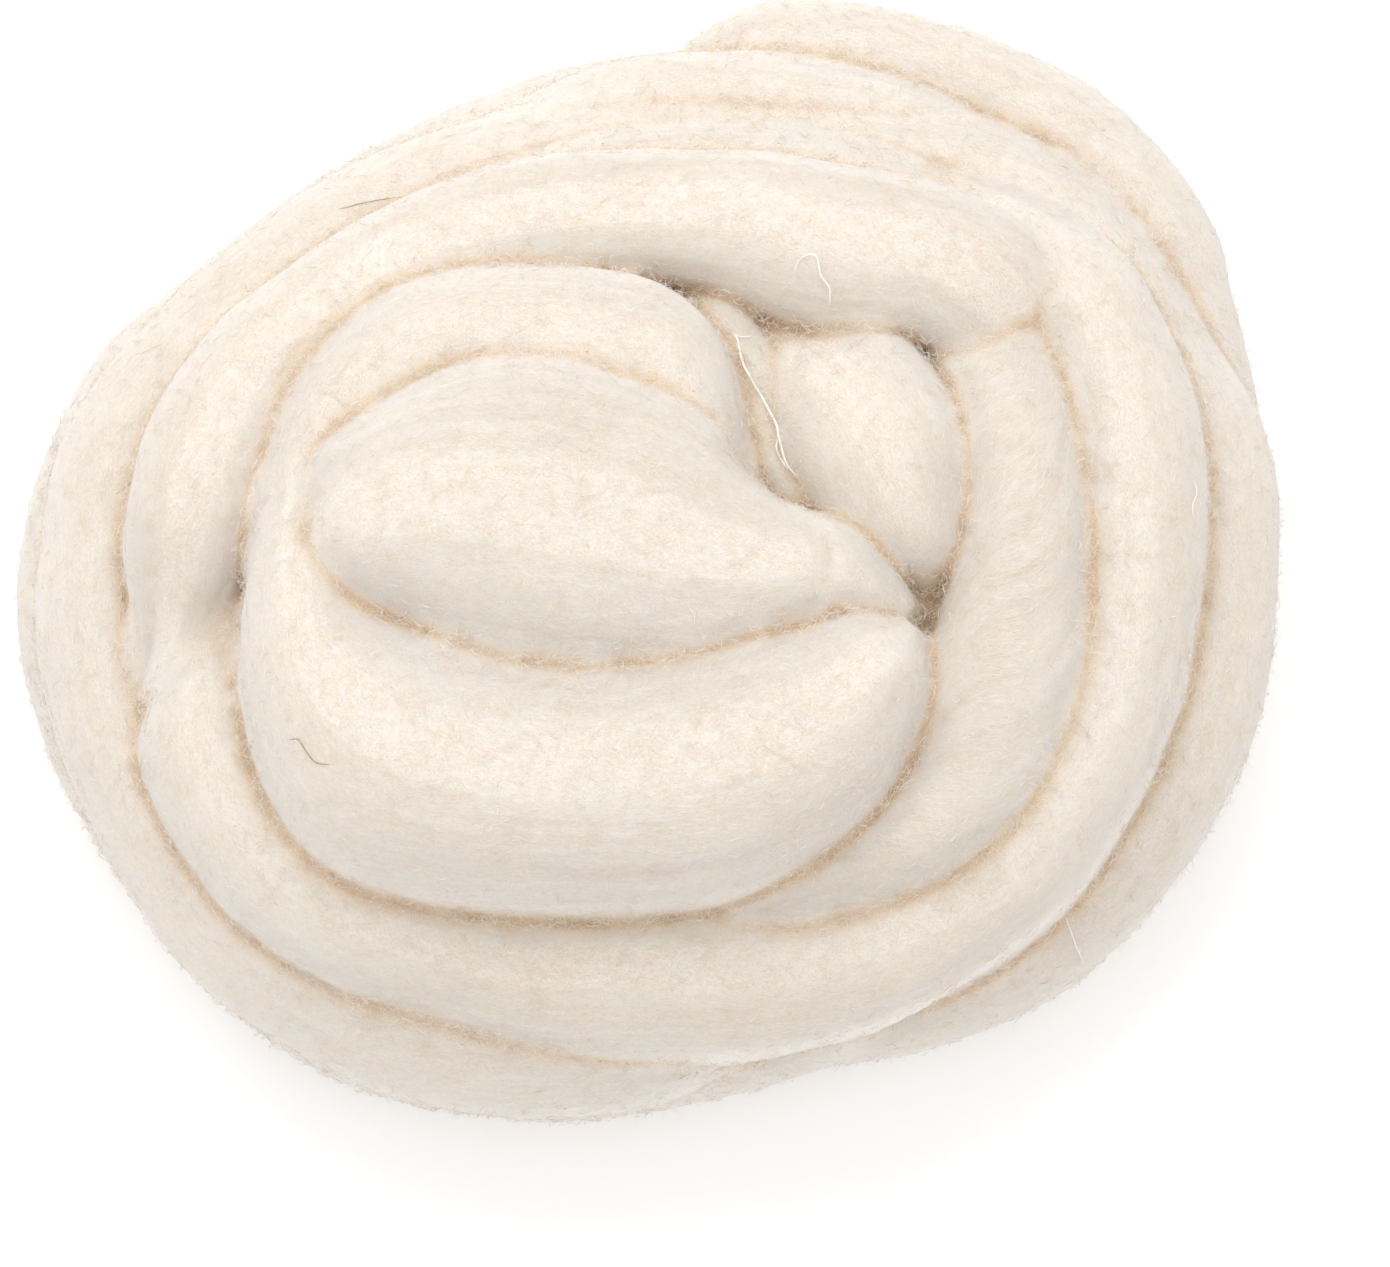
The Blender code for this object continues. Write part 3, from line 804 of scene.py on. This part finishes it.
CREAM = (0.935, 0.860, 0.785, 1.0)
WARM_CREAM = (0.830, 0.720, 0.600, 1.0)
# The next three are painted shade: the wool's colour in its valleys, in hollow creases, and at the bottom of
# deep or open creases, warmer and darker where shade falls.
VALLEY_SHADE_CREAM = (0.955, 0.830, 0.670, 1.0)
CREASE_SHADE_TAN = (0.870, 0.650, 0.380, 1.0)
PIT_SHADE_BROWN = (0.560, 0.375, 0.195, 1.0)
PATCH_SIZE = 45 * MM         # the wool's tint drifts over patches of about this size
PATCH_DETAIL = 2.0
FIBRE_TINT = 0.7             # how strongly the fibres tint the wool, and how strongly its streaks and patches
DRIFT_TINT = 0.5
TINT_RANGE = (0.37, 1.17)    # the tints at which the wool is all warm cream, and all cream
BETWEEN_FIBRES = -0.6        # a crease's painted shade shows less by this much on a fibre than between fibres
# For each painted shade of the creases: the marks at which it starts and is fullest, and how full it is
# there.
VALLEY_RAMP = (0.02, 0.8, 0.0, 0.9)
CREASE_RAMP = (0.08, 0.8, 0.0, 0.9)
DEEPEST_RAMP = (0.5, 1.3, 0.0, 0.5)
GROOVE_RAMP = (0.25, 1.1, 0.0, 0.45)
OPEN_RAMP = (0.05, 0.9, 0.0, 1.0)
WOOL_ROUGHNESS = (1.0, 0.86)  # of the warmest and the palest wool
RELIEF_HEIGHT = 0.2 * MM
RELIEF_STRENGTH = 0.8
# Where two turns meet, the fibres lie every way in short curls.
CURL_SIZES = {
    "Fibre Length": 0.9 * MM, "Fibre Width": 0.7 * MM, "Streak Length": 9 * MM, "Streak Width": 9 * MM,
}


def new_material(name):
    """A material, its node tree and its Principled BSDF."""
    material = bpy.data.materials.new(name)
    material.use_nodes = True
    return material, material.node_tree, material.node_tree.nodes["Principled BSDF"]


def mark_of(tree, name, output="Fac"):
    """A named attribute of the surface that a material is on."""
    return add_node(tree, "ShaderNodeAttribute", attribute_name=name).outputs[output]


def wool_material(name, pattern):
    """Cream combed wool: matt, softly lit through, with crimped fibres in relief and a drifting tint. Shade
    is
    painted into its colour: a warm cream in the valleys, warm tan where the surface is hollow, and brown in
    deep grooves and where a crease stands open."""
    material, tree, shader = new_material(name)
    place = tree.nodes.new("ShaderNodeTexCoord").outputs["Object"]
    laid = mark_of(tree, "laid", "Vector")
    strand_fibres = add_node(tree, "ShaderNodeGroup", {"Laid": laid}, node_tree=pattern)
    curls = add_node(tree, "ShaderNodeGroup", {"Laid": place, **CURL_SIZES}, node_tree=pattern)
    seam = mark_of(tree, "seam")
    hollow = mark_of(tree, "hollow")

    def either(output):
        """The fibres that follow the strands or, where two of them meet, the curls that don't."""
        return mix_of(tree, "FLOAT", seam, strand_fibres.outputs[output], curls.outputs[output])

    patches = noise_of(tree, place, PATCH_DETAIL, {"Scale": 1 / PATCH_SIZE}).outputs[0]
    fibres = either("Fibres")
    drift = math_of(tree, "MULTIPLY", math_of(tree, "ADD", either("Streaks"), patches), DRIFT_TINT)
    tint = math_of(tree, "MULTIPLY_ADD", fibres, FIBRE_TINT, drift)
    share = ramp_of(tree, tint, *TINT_RANGE)
    between = math_of(tree, "MULTIPLY_ADD", fibres, BETWEEN_FIBRES, 1.0)
    colour = mix_of(tree, "RGBA", share, WARM_CREAM, CREAM)
    # Painted shade: the valleys and hollows are coloured warmer and darker where shade falls.
    colour = mix_of(tree, "RGBA", ramp_of(tree, mark_of(tree, "valley"), *VALLEY_RAMP), colour, VALLEY_SHADE_CREAM)
    crease = math_of(tree, "MULTIPLY", ramp_of(tree, hollow, *CREASE_RAMP), between)
    colour = mix_of(tree, "RGBA", crease, colour, CREASE_SHADE_TAN)

    # Painted shadow: brown at the bottom of deep hollows, fine grooves and open creases.
    deepest = ramp_of(tree, hollow, *DEEPEST_RAMP)
    line = ramp_of(tree, mark_of(tree, "groove"), *GROOVE_RAMP)
    open_crease_shade = math_of(tree, "MULTIPLY", mark_of(tree, "opened"), ramp_of(tree, hollow, *OPEN_RAMP))
    dark = math_of(tree, "MAXIMUM", math_of(tree, "ADD", deepest, line), open_crease_shade)
    colour = mix_of(tree, "RGBA", math_of(tree, "MULTIPLY", between, dark), colour, PIT_SHADE_BROWN)
    tree.links.new(colour, shader.inputs["Base Color"])
    tree.links.new(ramp_of(tree, share, 0.0, 1.0, *WOOL_ROUGHNESS), shader.inputs["Roughness"])
    bump = add_node(tree, "ShaderNodeBump",
                    {"Strength": RELIEF_STRENGTH, "Distance": RELIEF_HEIGHT, "Height": either("Height")})
    tree.links.new(bump.outputs[0], shader.inputs["Normal"])
    shader.inputs["Specular IOR Level"].default_value = 0.2
    shader.inputs["Subsurface Weight"].default_value = 0.8
    shader.inputs["Subsurface Radius"].default_value = (1.0, 0.75, 0.5)
    shader.inputs["Subsurface Scale"].default_value = 8.0 * MM
    shader.inputs["Sheen Weight"].default_value = 0.25
    shader.inputs["Sheen Roughness"].default_value = 0.6
    return material


def settle_modifiers(obj):
    """Makes the modifiers' result the object's plain mesh, and removes them."""
    graph = bpy.context.evaluated_depsgraph_get()
    made = bpy.data.meshes.new_from_object(obj.evaluated_get(graph), preserve_all_data_layers=True,
                                           depsgraph=graph)
    started_from = obj.data
    obj.modifiers.clear()
    obj.data = made
    bpy.data.meshes.remove(started_from)


def grow(obj, tree, **values):
    """Runs a Geometry Nodes tree on the object, with these inputs, and leaves a plain mesh."""
    modifier = obj.modifiers.new(tree.name, "NODES")
    modifier.node_group = tree
    for item in tree.interface.items_tree:
        key = item.name.lower().replace(" ", "_")
        if item.in_out == "INPUT" and key in values:
            modifier[item.identifier] = values[key]
    settle_modifiers(obj)


MOST_TRIANGLES = 195000      # the finished surface has no more than this

hank = grown_together(turns)
wool = wool_material("wool", crimped_fibre_pattern())
grow(hank, pressed_wool_tree(), laid_turns=turns, material=wool)
bpy.data.objects.remove(turns)
triangles = sum(len(polygon.vertices) - 2 for polygon in hank.data.polygons)
fewer = hank.modifiers.new("fewer_faces", "DECIMATE")
fewer.ratio = min(1.0, MOST_TRIANGLES / triangles)
settle_modifiers(hank)
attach(hank, "root")
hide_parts("roving")

# ---------------------------------------------------------------------------------------------------
# Loose fibres. Combed wool is never quite smooth: single fibres lie over the surface, curl out of the
# creases where two turns press together, and stand off the rim as a fine halo.
# ---------------------------------------------------------------------------------------------------
MARK_SPAN = 9.0              # a fibre's own random marks go from nought to this
CREASE_FULL = 0.7            # hollow at which the crease's full number of fibres grows
UNDERSIDE = -0.75            # faces that point down more than this are never seen and stay bare
SIDE_FACING = (-0.2, 0.8)    # upward parts of the normals between which the side's share becomes all
SHORTEST_SHARE = 0.45        # of the fibre length, and the longest
LONGEST_SHARE = 1.3
LEAST_TILT = 0.2             # every fibre that stands up does so by at least this share of the tilt
CRIMP_SPREAD = 5.0           # how far apart in the noise the crimps of two fibres are
CRIMP_GAIN = 4.0             # the noise strays from its middle by about a quarter
LIFT_SHARE = 0.2             # of the lift, for each unit of a fibre's first mark
LEAST_LIFT = 0.06 * MM       # height of a fibre's ends above the surface
LEAST_HEIGHT = 0.1 * MM      # no fibre goes lower than this above the floor
FIBRE_TIP = 0.25             # thickness of a fibre's tips as a share of its middle's
FIBRE_TAPER = 3.0


def off_middle(tree, along):
    """How far a place on a line is from its middle: 0 there, and 1 at both ends."""
    return math_of(tree, "ABSOLUTE", math_of(tree, "MULTIPLY_ADD", along, 2.0, -1.0))


def strayed(tree, position, place, detail, amount):
    """The position, led off its line by a noise that is read at the place."""
    noise = noise_of(tree, place, detail).outputs["Color"]
    centred = vector_of(tree, "SUBTRACT", noise, (NOISE_MIDDLE,) * 3)
    return vector_of(tree, "ADD", position, scaled_by(tree, centred, amount))


def fibre_tree():
    """Geometry Nodes: scatters fibres over the hank, more of them in its creases. Each is turned from the
    wool's own direction, crimped, and drawn down onto the surface as far as it clings."""
    inputs = [
        ("Geometry", "NodeSocketGeometry", None),
        ("Hank", "NodeSocketObject", None),
        ("Open Density", "NodeSocketFloat", 1.0e5),
        ("Crease Density", "NodeSocketFloat", 0.0),
        ("Side Share", "NodeSocketFloat", 1.0),
        ("Length", "NodeSocketFloat", 8 * MM),
        ("Thickness", "NodeSocketFloat", 0.1 * MM),
        ("Points", "NodeSocketInt", 6),
        ("Swing", "NodeSocketFloat", 0.4),
        ("Tilt", "NodeSocketFloat", 0.0),
        ("Crimp", "NodeSocketFloat", 0.4 * MM),
        ("Crimp Size", "NodeSocketFloat", 1.6 * MM),
        ("Lift", "NodeSocketFloat", 0.4 * MM),
        ("Cling", "NodeSocketFloat", 1.0),
        ("Seed", "NodeSocketInt", 1),
        ("Material", "NodeSocketMaterial", None),
    ]
    tree, given, put = new_tree("loose_fibres", "GeometryNodeTree", inputs, GEOMETRY_OUT)
    surface = add_node(tree, "GeometryNodeObjectInfo", {"Object": given["Hank"]}).outputs["Geometry"]
    position = tree.nodes.new("GeometryNodeInputPosition").outputs[0]
    normal = tree.nodes.new("GeometryNodeInputNormal").outputs[0]

    def random_of(low, high, seed_step, data_type="FLOAT"):
        """A random value for each point, from a seed of its own."""
        seed = math_of(tree, "ADD", given["Seed"], float(seed_step))
        inputs = {"Min": low, "Max": high, "Seed": seed}
        return result(add_node(tree, "FunctionNodeRandomValue", inputs, data_type=data_type))

    nearness = ramp_of(tree, attribute_of(tree, "hollow"), 0.0, CREASE_FULL)
    wanted = math_of(tree, "MULTIPLY_ADD", nearness, given["Crease Density"], given["Open Density"])
    facing = add_node(tree, "ShaderNodeSeparateXYZ", (normal,)).outputs["Z"]
    seen = math_of(tree, "GREATER_THAN", facing, UNDERSIDE)
    upward = ramp_of(tree, facing, *SIDE_FACING, given["Side Share"], 1.0)
    density = math_of(tree, "MULTIPLY", math_of(tree, "MULTIPLY", seen, upward), wanted)
    scattered = add_node(tree, "GeometryNodeDistributePointsOnFaces",
                         {"Mesh": surface, "Density": density, "Seed": given["Seed"]})
    marks = random_of((0.0,) * 3, (MARK_SPAN,) * 3, 13, "FLOAT_VECTOR")
    roots = add_node(tree, "GeometryNodeStoreNamedAttribute",
                     {"Geometry": scattered.outputs["Points"], "Name": "fibre", "Value": marks},
                     data_type="FLOAT_VECTOR", domain="POINT")

    # Each starts as a straight line of a few points, laid along the wool and then turned away from it.
    laid_flat = add_node(tree, "FunctionNodeAlignRotationToVector",
                         {"Rotation": scattered.outputs["Rotation"],
                          "Vector": attribute_of(tree, "flow", "FLOAT_VECTOR")}, axis="X", pivot_axis="Z")
    swing = math_of(tree, "MULTIPLY", random_of(-1.0, 1.0, 11), given["Swing"])
    tilt = math_of(tree, "MULTIPLY", random_of(-1.0, -LEAST_TILT, 12), given["Tilt"])
    turning = add_node(tree, "FunctionNodeEulerToRotation", {"Euler": vector_from(tree, 0.0, tilt, swing)})
    turned = add_node(tree, "FunctionNodeRotateRotation",
                      {"Rotation": result(laid_flat), "Rotate By": result(turning)}, rotation_space="LOCAL")
    straight = add_node(tree, "GeometryNodeCurvePrimitiveLine", {"Start": (0.0, 0, 0), "End": (1.0, 0, 0)})
    beaded = add_node(tree, "GeometryNodeResampleCurve",
                      {"Curve": result(straight), "Count": given["Points"]})
    length = math_of(tree, "MULTIPLY", random_of(SHORTEST_SHARE, LONGEST_SHARE, 14), given["Length"])
    placed = add_node(tree, "GeometryNodeInstanceOnPoints",
                      {"Points": result(roots), "Instance": result(beaded), "Rotation": result(turned),
                       "Scale": vector_from(tree, length, length, length)})
    lines = result(add_node(tree, "GeometryNodeRealizeInstances", {"Geometry": result(placed)}))

    own = attribute_of(tree, "fibre", "FLOAT_VECTOR")
    crimp_size = vector_from(tree, *(given["Crimp Size"],) * 3)
    crimp_place = vector_of(tree, "ADD", vector_of(tree, "DIVIDE", position, crimp_size),
                            vector_of(tree, "MULTIPLY", own, (CRIMP_SPREAD,) * 3))
    bent = strayed(tree, position, crimp_place, 0.5, math_of(tree, "MULTIPLY", given["Crimp"], CRIMP_GAIN))

    nearest = add_node(tree, "GeometryNodeProximity", {"Geometry": surface, "Sample Position": bent},
                       target_element="FACES").outputs["Position"]
    skin_normal = result(add_node(tree, "GeometryNodeSampleNearestSurface",
                                  {"Mesh": surface, "Value": normal, "Sample Position": bent},
                                  data_type="FLOAT_VECTOR"))
    along = tree.nodes.new("GeometryNodeSplineParameter").outputs["Factor"]
    arch = math_of(tree, "SINE", math_of(tree, "MULTIPLY", along, math.pi))
    own_mark = add_node(tree, "ShaderNodeSeparateXYZ", (own,)).outputs["X"]
    own_lift = math_of(tree, "MULTIPLY", math_of(tree, "MULTIPLY", own_mark, LIFT_SHARE), given["Lift"])
    height = math_of(tree, "MULTIPLY_ADD", arch, own_lift, LEAST_LIFT)
    lifted = vector_of(tree, "ADD", nearest, scaled_by(tree, skin_normal, height))
    settled = mix_of(tree, "VECTOR", given["Cling"], bent, lifted)
    above = vector_of(tree, "MAXIMUM", settled, (-1.0, -1.0, LEAST_HEIGHT))
    shaped = add_node(tree, "GeometryNodeSetPosition", {"Geometry": lines, "Position": above})

    taper = math_of(tree, "SUBTRACT", 1.0, math_of(tree, "POWER", off_middle(tree, along), FIBRE_TAPER))
    radius = math_of(tree, "MULTIPLY_ADD", taper, 1 - FIBRE_TIP, FIBRE_TIP)
    thick = add_node(tree, "GeometryNodeSetCurveRadius", {"Curve": result(shaped), "Radius": radius})
    outline = add_node(tree, "GeometryNodeCurvePrimitiveCircle",
                       {"Resolution": 3, "Radius": math_of(tree, "MULTIPLY", given["Thickness"], 0.5)})
    tubes = add_node(tree, "GeometryNodeCurveToMesh",
                     {"Curve": result(thick), "Profile Curve": result(outline), "Scale": radius,
                      "Fill Caps": True})
    return ended_tree(tree, result(tubes), given, put)


PALE_FIBRE = (0.98, 0.94, 0.88, 1.0)
TAN_FIBRE = (0.84, 0.74, 0.62, 1.0)
FIBRE_ROUGHNESS = (0.6, 0.85)


def fibre_material(name):
    """Single wool fibres, each a little paler or darker than the next."""
    material, tree, shader = new_material(name)
    marks = add_node(tree, "ShaderNodeSeparateXYZ", (mark_of(tree, "fibre", "Vector"),)).outputs
    colour = mix_of(tree, "RGBA", ramp_of(tree, marks["Y"], 0.0, MARK_SPAN), TAN_FIBRE, PALE_FIBRE)
    tree.links.new(colour, shader.inputs["Base Color"])
    roughness = ramp_of(tree, marks["Z"], 0.0, MARK_SPAN, *FIBRE_ROUGHNESS)
    tree.links.new(roughness, shader.inputs["Roughness"])
    shader.inputs["Specular IOR Level"].default_value = 0.35
    return material


# Each piece: its name, its seed, and its fibres' numbers for each square metre, sizes and ways to lie.
FIBRE_PIECES = [
    ("lying_fibres", 3, {
        "open_density": 2.2e5, "side_share": 0.35, "length": 2.3 * MM, "points": 3, "swing": 1.6,
        "crimp": 0.5 * MM, "crimp_size": 1.0 * MM, "lift": 0.5 * MM, "thickness": 0.18 * MM,
    }),
    ("crease_curls", 5, {
        "open_density": 0.0, "crease_density": 6.2e5, "length": 2.8 * MM, "points": 6, "swing": math.pi,
        "crimp": 0.75 * MM, "crimp_size": 0.8 * MM, "lift": 0.9 * MM, "thickness": 0.15 * MM,
    }),
    ("halo", 7, {
        "open_density": 1.1e5, "length": 2.6 * MM, "points": 4, "swing": math.pi, "tilt": 0.8, "cling": 0.0,
        "crimp": 0.35 * MM, "thickness": 0.08 * MM,
    }),
]

fibres_over = fibre_tree()
loose_wool = fibre_material("loose_wool")
for name, seed, sizes in FIBRE_PIECES:
    piece = in_scene(name, bpy.data.meshes.new(name))
    grow(piece, fibres_over, hank=hank, seed=seed, material=loose_wool, **sizes)
    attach(piece, "root")
    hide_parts("roving")

# ---------------------------------------------------------------------------------------------------
# Stray hairs. A few single hairs lie loose on the turns: thick pale ones on the petal and the third turn,
# and fine dark ones at the left. Each rests on the wool under it, and nothing fixes it.
# ---------------------------------------------------------------------------------------------------
# Each hair: its tone (0 pale, 1 dark), its width in millimetres, and the places it passes over.
STRAY_HAIRS = [
    (0.0, 0.55, [(20, 35.7), (18.3, 35.5), (16.9, 36.1), (17.6, 34.9), (18.5, 30), (21.7, 24.4), (24.5, 18.6),
                 (25, 16), (26.4, 11.1), (28.4, 8.3)]),
    (0.0, 0.4, [(25, 16), (24.6, 13.7), (26.6, 10)]),
    (0.0, 0.38, [(27.9, 46.5), (28.6, 48.4), (30.3, 49.4), (31.9, 49), (32.8, 45.6), (34.3, 43.3),
                 (34.4, 40.6)]),
    (1.0, 0.25, [(-61.9, -42.7), (-60.2, -42.9), (-58.9, -44.8), (-57.1, -46.9), (-54.5, -47.4)]),
    (1.0, 0.2, [(-57.1, 64.7), (-53.4, 65.5), (-49.3, 66.2), (-44.9, 66.6)]),
    (0.0, 0.3, [(77.9, -68), (78.8, -70.4), (80.2, -73.3), (81.5, -75.5)]),
    (0.0, 0.25, [(101.1, 9.9), (101.6, 7.6), (100.8, 4.9), (101.3, 2.3)]),
]
HAIR_DROP = 150 * MM         # height that the hairs are dropped from
HAIR_REST = 0.7              # a hair's middle line rests this share of its width above the wool
HAIR_TIP = 0.4               # thickness of a hair's tips as a share of its middle's
HAIR_TAPER = 4.0


def hair_lines(name):
    """The hairs' places as lines of points, above the hank."""
    points, edges, tones, widths = [], [], [], []
    for tone, width, places in STRAY_HAIRS:
        first = len(points)
        points += [((x - MIDDLE[0]) * MM, (y - MIDDLE[1]) * MM, HAIR_DROP) for x, y in places]
        edges += [(k, k + 1) for k in range(first, len(points) - 1)]
        tones += [tone] * len(places)
        widths += [width * MM] * len(places)
    mesh = bpy.data.meshes.new(name)
    mesh.from_pydata(points, edges, [])
    for title, values in (("tone", tones), ("width", widths)):
        mesh.attributes.new(title, "FLOAT", "POINT").data.foreach_set("value", values)
    return in_scene(name, mesh)


def hair_tree():
    """Geometry Nodes: bends a line of points into a hair, and drops it onto the hank."""
    inputs = [
        ("Geometry", "NodeSocketGeometry", None),
        ("Hank", "NodeSocketObject", None),
        ("Spacing", "NodeSocketFloat", 0.6 * MM),
        ("Crimp", "NodeSocketFloat", 0.5 * MM),
        ("Crimp Size", "NodeSocketFloat", 4.0 * MM),
        ("Sides", "NodeSocketInt", 5),
        ("Material", "NodeSocketMaterial", None),
    ]
    tree, given, put = new_tree("stray_hair", "GeometryNodeTree", inputs, GEOMETRY_OUT)
    surface = add_node(tree, "GeometryNodeObjectInfo", {"Object": given["Hank"]}).outputs["Geometry"]
    line = add_node(tree, "GeometryNodeMeshToCurve", {"Mesh": given["Geometry"]})
    bending = add_node(tree, "GeometryNodeCurveSplineType", {"Curve": result(line)},
                       spline_type="CATMULL_ROM")
    spaced = add_node(tree, "GeometryNodeResampleCurve",
                      {"Curve": result(bending), "Length": given["Spacing"]}, mode="LENGTH")
    position = tree.nodes.new("GeometryNodeInputPosition").outputs[0]
    crimp_place = vector_of(tree, "DIVIDE", position, vector_from(tree, *(given["Crimp Size"],) * 3))
    above = strayed(tree, position, crimp_place, 1.0, given["Crimp"])
    found = add_node(tree, "GeometryNodeRaycast",
                     {"Target Geometry": surface, "Source Position": above, "Ray Direction": (0.0, 0.0, -1.0),
                      "Ray Length": HAIR_DROP})
    width = attribute_of(tree, "width")
    rest = vector_from(tree, 0.0, 0.0, math_of(tree, "MULTIPLY", width, HAIR_REST))
    resting = vector_of(tree, "ADD", found.outputs["Hit Position"], rest)
    dropped = add_node(tree, "GeometryNodeSetPosition", {"Geometry": result(spaced), "Position": resting})
    along = tree.nodes.new("GeometryNodeSplineParameter").outputs["Factor"]
    ends = math_of(tree, "POWER", off_middle(tree, along), HAIR_TAPER)
    taper = math_of(tree, "MULTIPLY_ADD", ends, HAIR_TIP - 1, 1.0)
    outline = add_node(tree, "GeometryNodeCurvePrimitiveCircle",
                       {"Resolution": given["Sides"], "Radius": 0.5})
    tubes = add_node(tree, "GeometryNodeCurveToMesh",
                     {"Curve": result(dropped), "Profile Curve": result(outline),
                      "Scale": math_of(tree, "MULTIPLY", width, taper), "Fill Caps": True})
    return ended_tree(tree, result(tubes), given, put)


PALE_HAIR = (0.98, 0.97, 0.94, 1.0)
DARK_HAIR = (0.42, 0.32, 0.23, 1.0)


def hair_material(name):
    """Stiff single hairs, pale or dark by each one's tone."""
    material, tree, shader = new_material(name)
    colour = mix_of(tree, "RGBA", mark_of(tree, "tone"), PALE_HAIR, DARK_HAIR)
    tree.links.new(colour, shader.inputs["Base Color"])
    shader.inputs["Roughness"].default_value = 0.45
    return material


stray_hairs = hair_lines("stray_hairs")
grow(stray_hairs, hair_tree(), hank=hank, material=hair_material("stray_hair"))
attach(stray_hairs, "root")
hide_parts("roving")

# ---------------------------------------------------------------------------------------------------
# Stage: a pale floor just under the hank, soft light from all round and from a softbox above it and
# behind, a little to the left, and the photograph's viewpoint.
# ---------------------------------------------------------------------------------------------------
FLOOR_HALF = 3.0
FLOOR_DROP = 0.2 * MM
FLOOR_WHITE = (0.96, 0.96, 0.96, 1.0)
FLOOR_GLOW = 0.12
WHITE = (1.0, 1.0, 1.0, 1.0)

floor_mesh = bpy.data.meshes.new("floor")
corners = [(x * FLOOR_HALF, y * FLOOR_HALF, -FLOOR_DROP) for x, y in ((-1, -1), (1, -1), (1, 1), (-1, 1))]
floor_mesh.from_pydata(corners, [], [(0, 1, 2, 3)])
floor_paint, _, floor_shader = new_material("floor_paint")
floor_shader.inputs["Base Color"].default_value = FLOOR_WHITE
floor_shader.inputs["Roughness"].default_value = 0.9
floor_shader.inputs["Emission Color"].default_value = WHITE
floor_shader.inputs["Emission Strength"].default_value = FLOOR_GLOW
floor_mesh.materials.append(floor_paint)
in_scene("floor", floor_mesh)

ROOM_LIGHT = 0.96
world = bpy.data.worlds.new("studio")
world.use_nodes = True
world.node_tree.nodes["Background"].inputs["Color"].default_value = WHITE
world.node_tree.nodes["Background"].inputs["Strength"].default_value = ROOM_LIGHT
bpy.context.scene.world = world
bpy.context.scene.view_settings.view_transform = "Standard"

LIGHT_PLACE = Vector((-0.20, 0.72, 0.82))
softbox = bpy.data.lights.new("softbox", "AREA")
softbox.shape = "SQUARE"
softbox.size = 1.0
softbox.energy = 5.3
light = in_scene("softbox", softbox)
light.location = LIGHT_PLACE
light.rotation_euler = (-LIGHT_PLACE).to_track_quat("-Z", "Y").to_euler()

ELEVATION = math.radians(78.0)
DISTANCE = 0.9
AIM = Vector((9.75 * MM, -17.8 * MM, 30 * MM))
PICTURE_WIDTH = 1390         # pixels
FOCAL_LENGTH = 4800          # pixels
SENSOR_WIDTH = 36.0          # millimetres
camera_data = bpy.data.cameras.new("camera")
camera_data.sensor_width = SENSOR_WIDTH
camera_data.lens = SENSOR_WIDTH * FOCAL_LENGTH / PICTURE_WIDTH
camera = in_scene("camera", camera_data)
back = Vector((0, -math.cos(ELEVATION), math.sin(ELEVATION)))
camera.location = AIM + back * DISTANCE
camera.rotation_euler = (-back).to_track_quat("-Z", "Y").to_euler()
bpy.context.scene.camera = camera
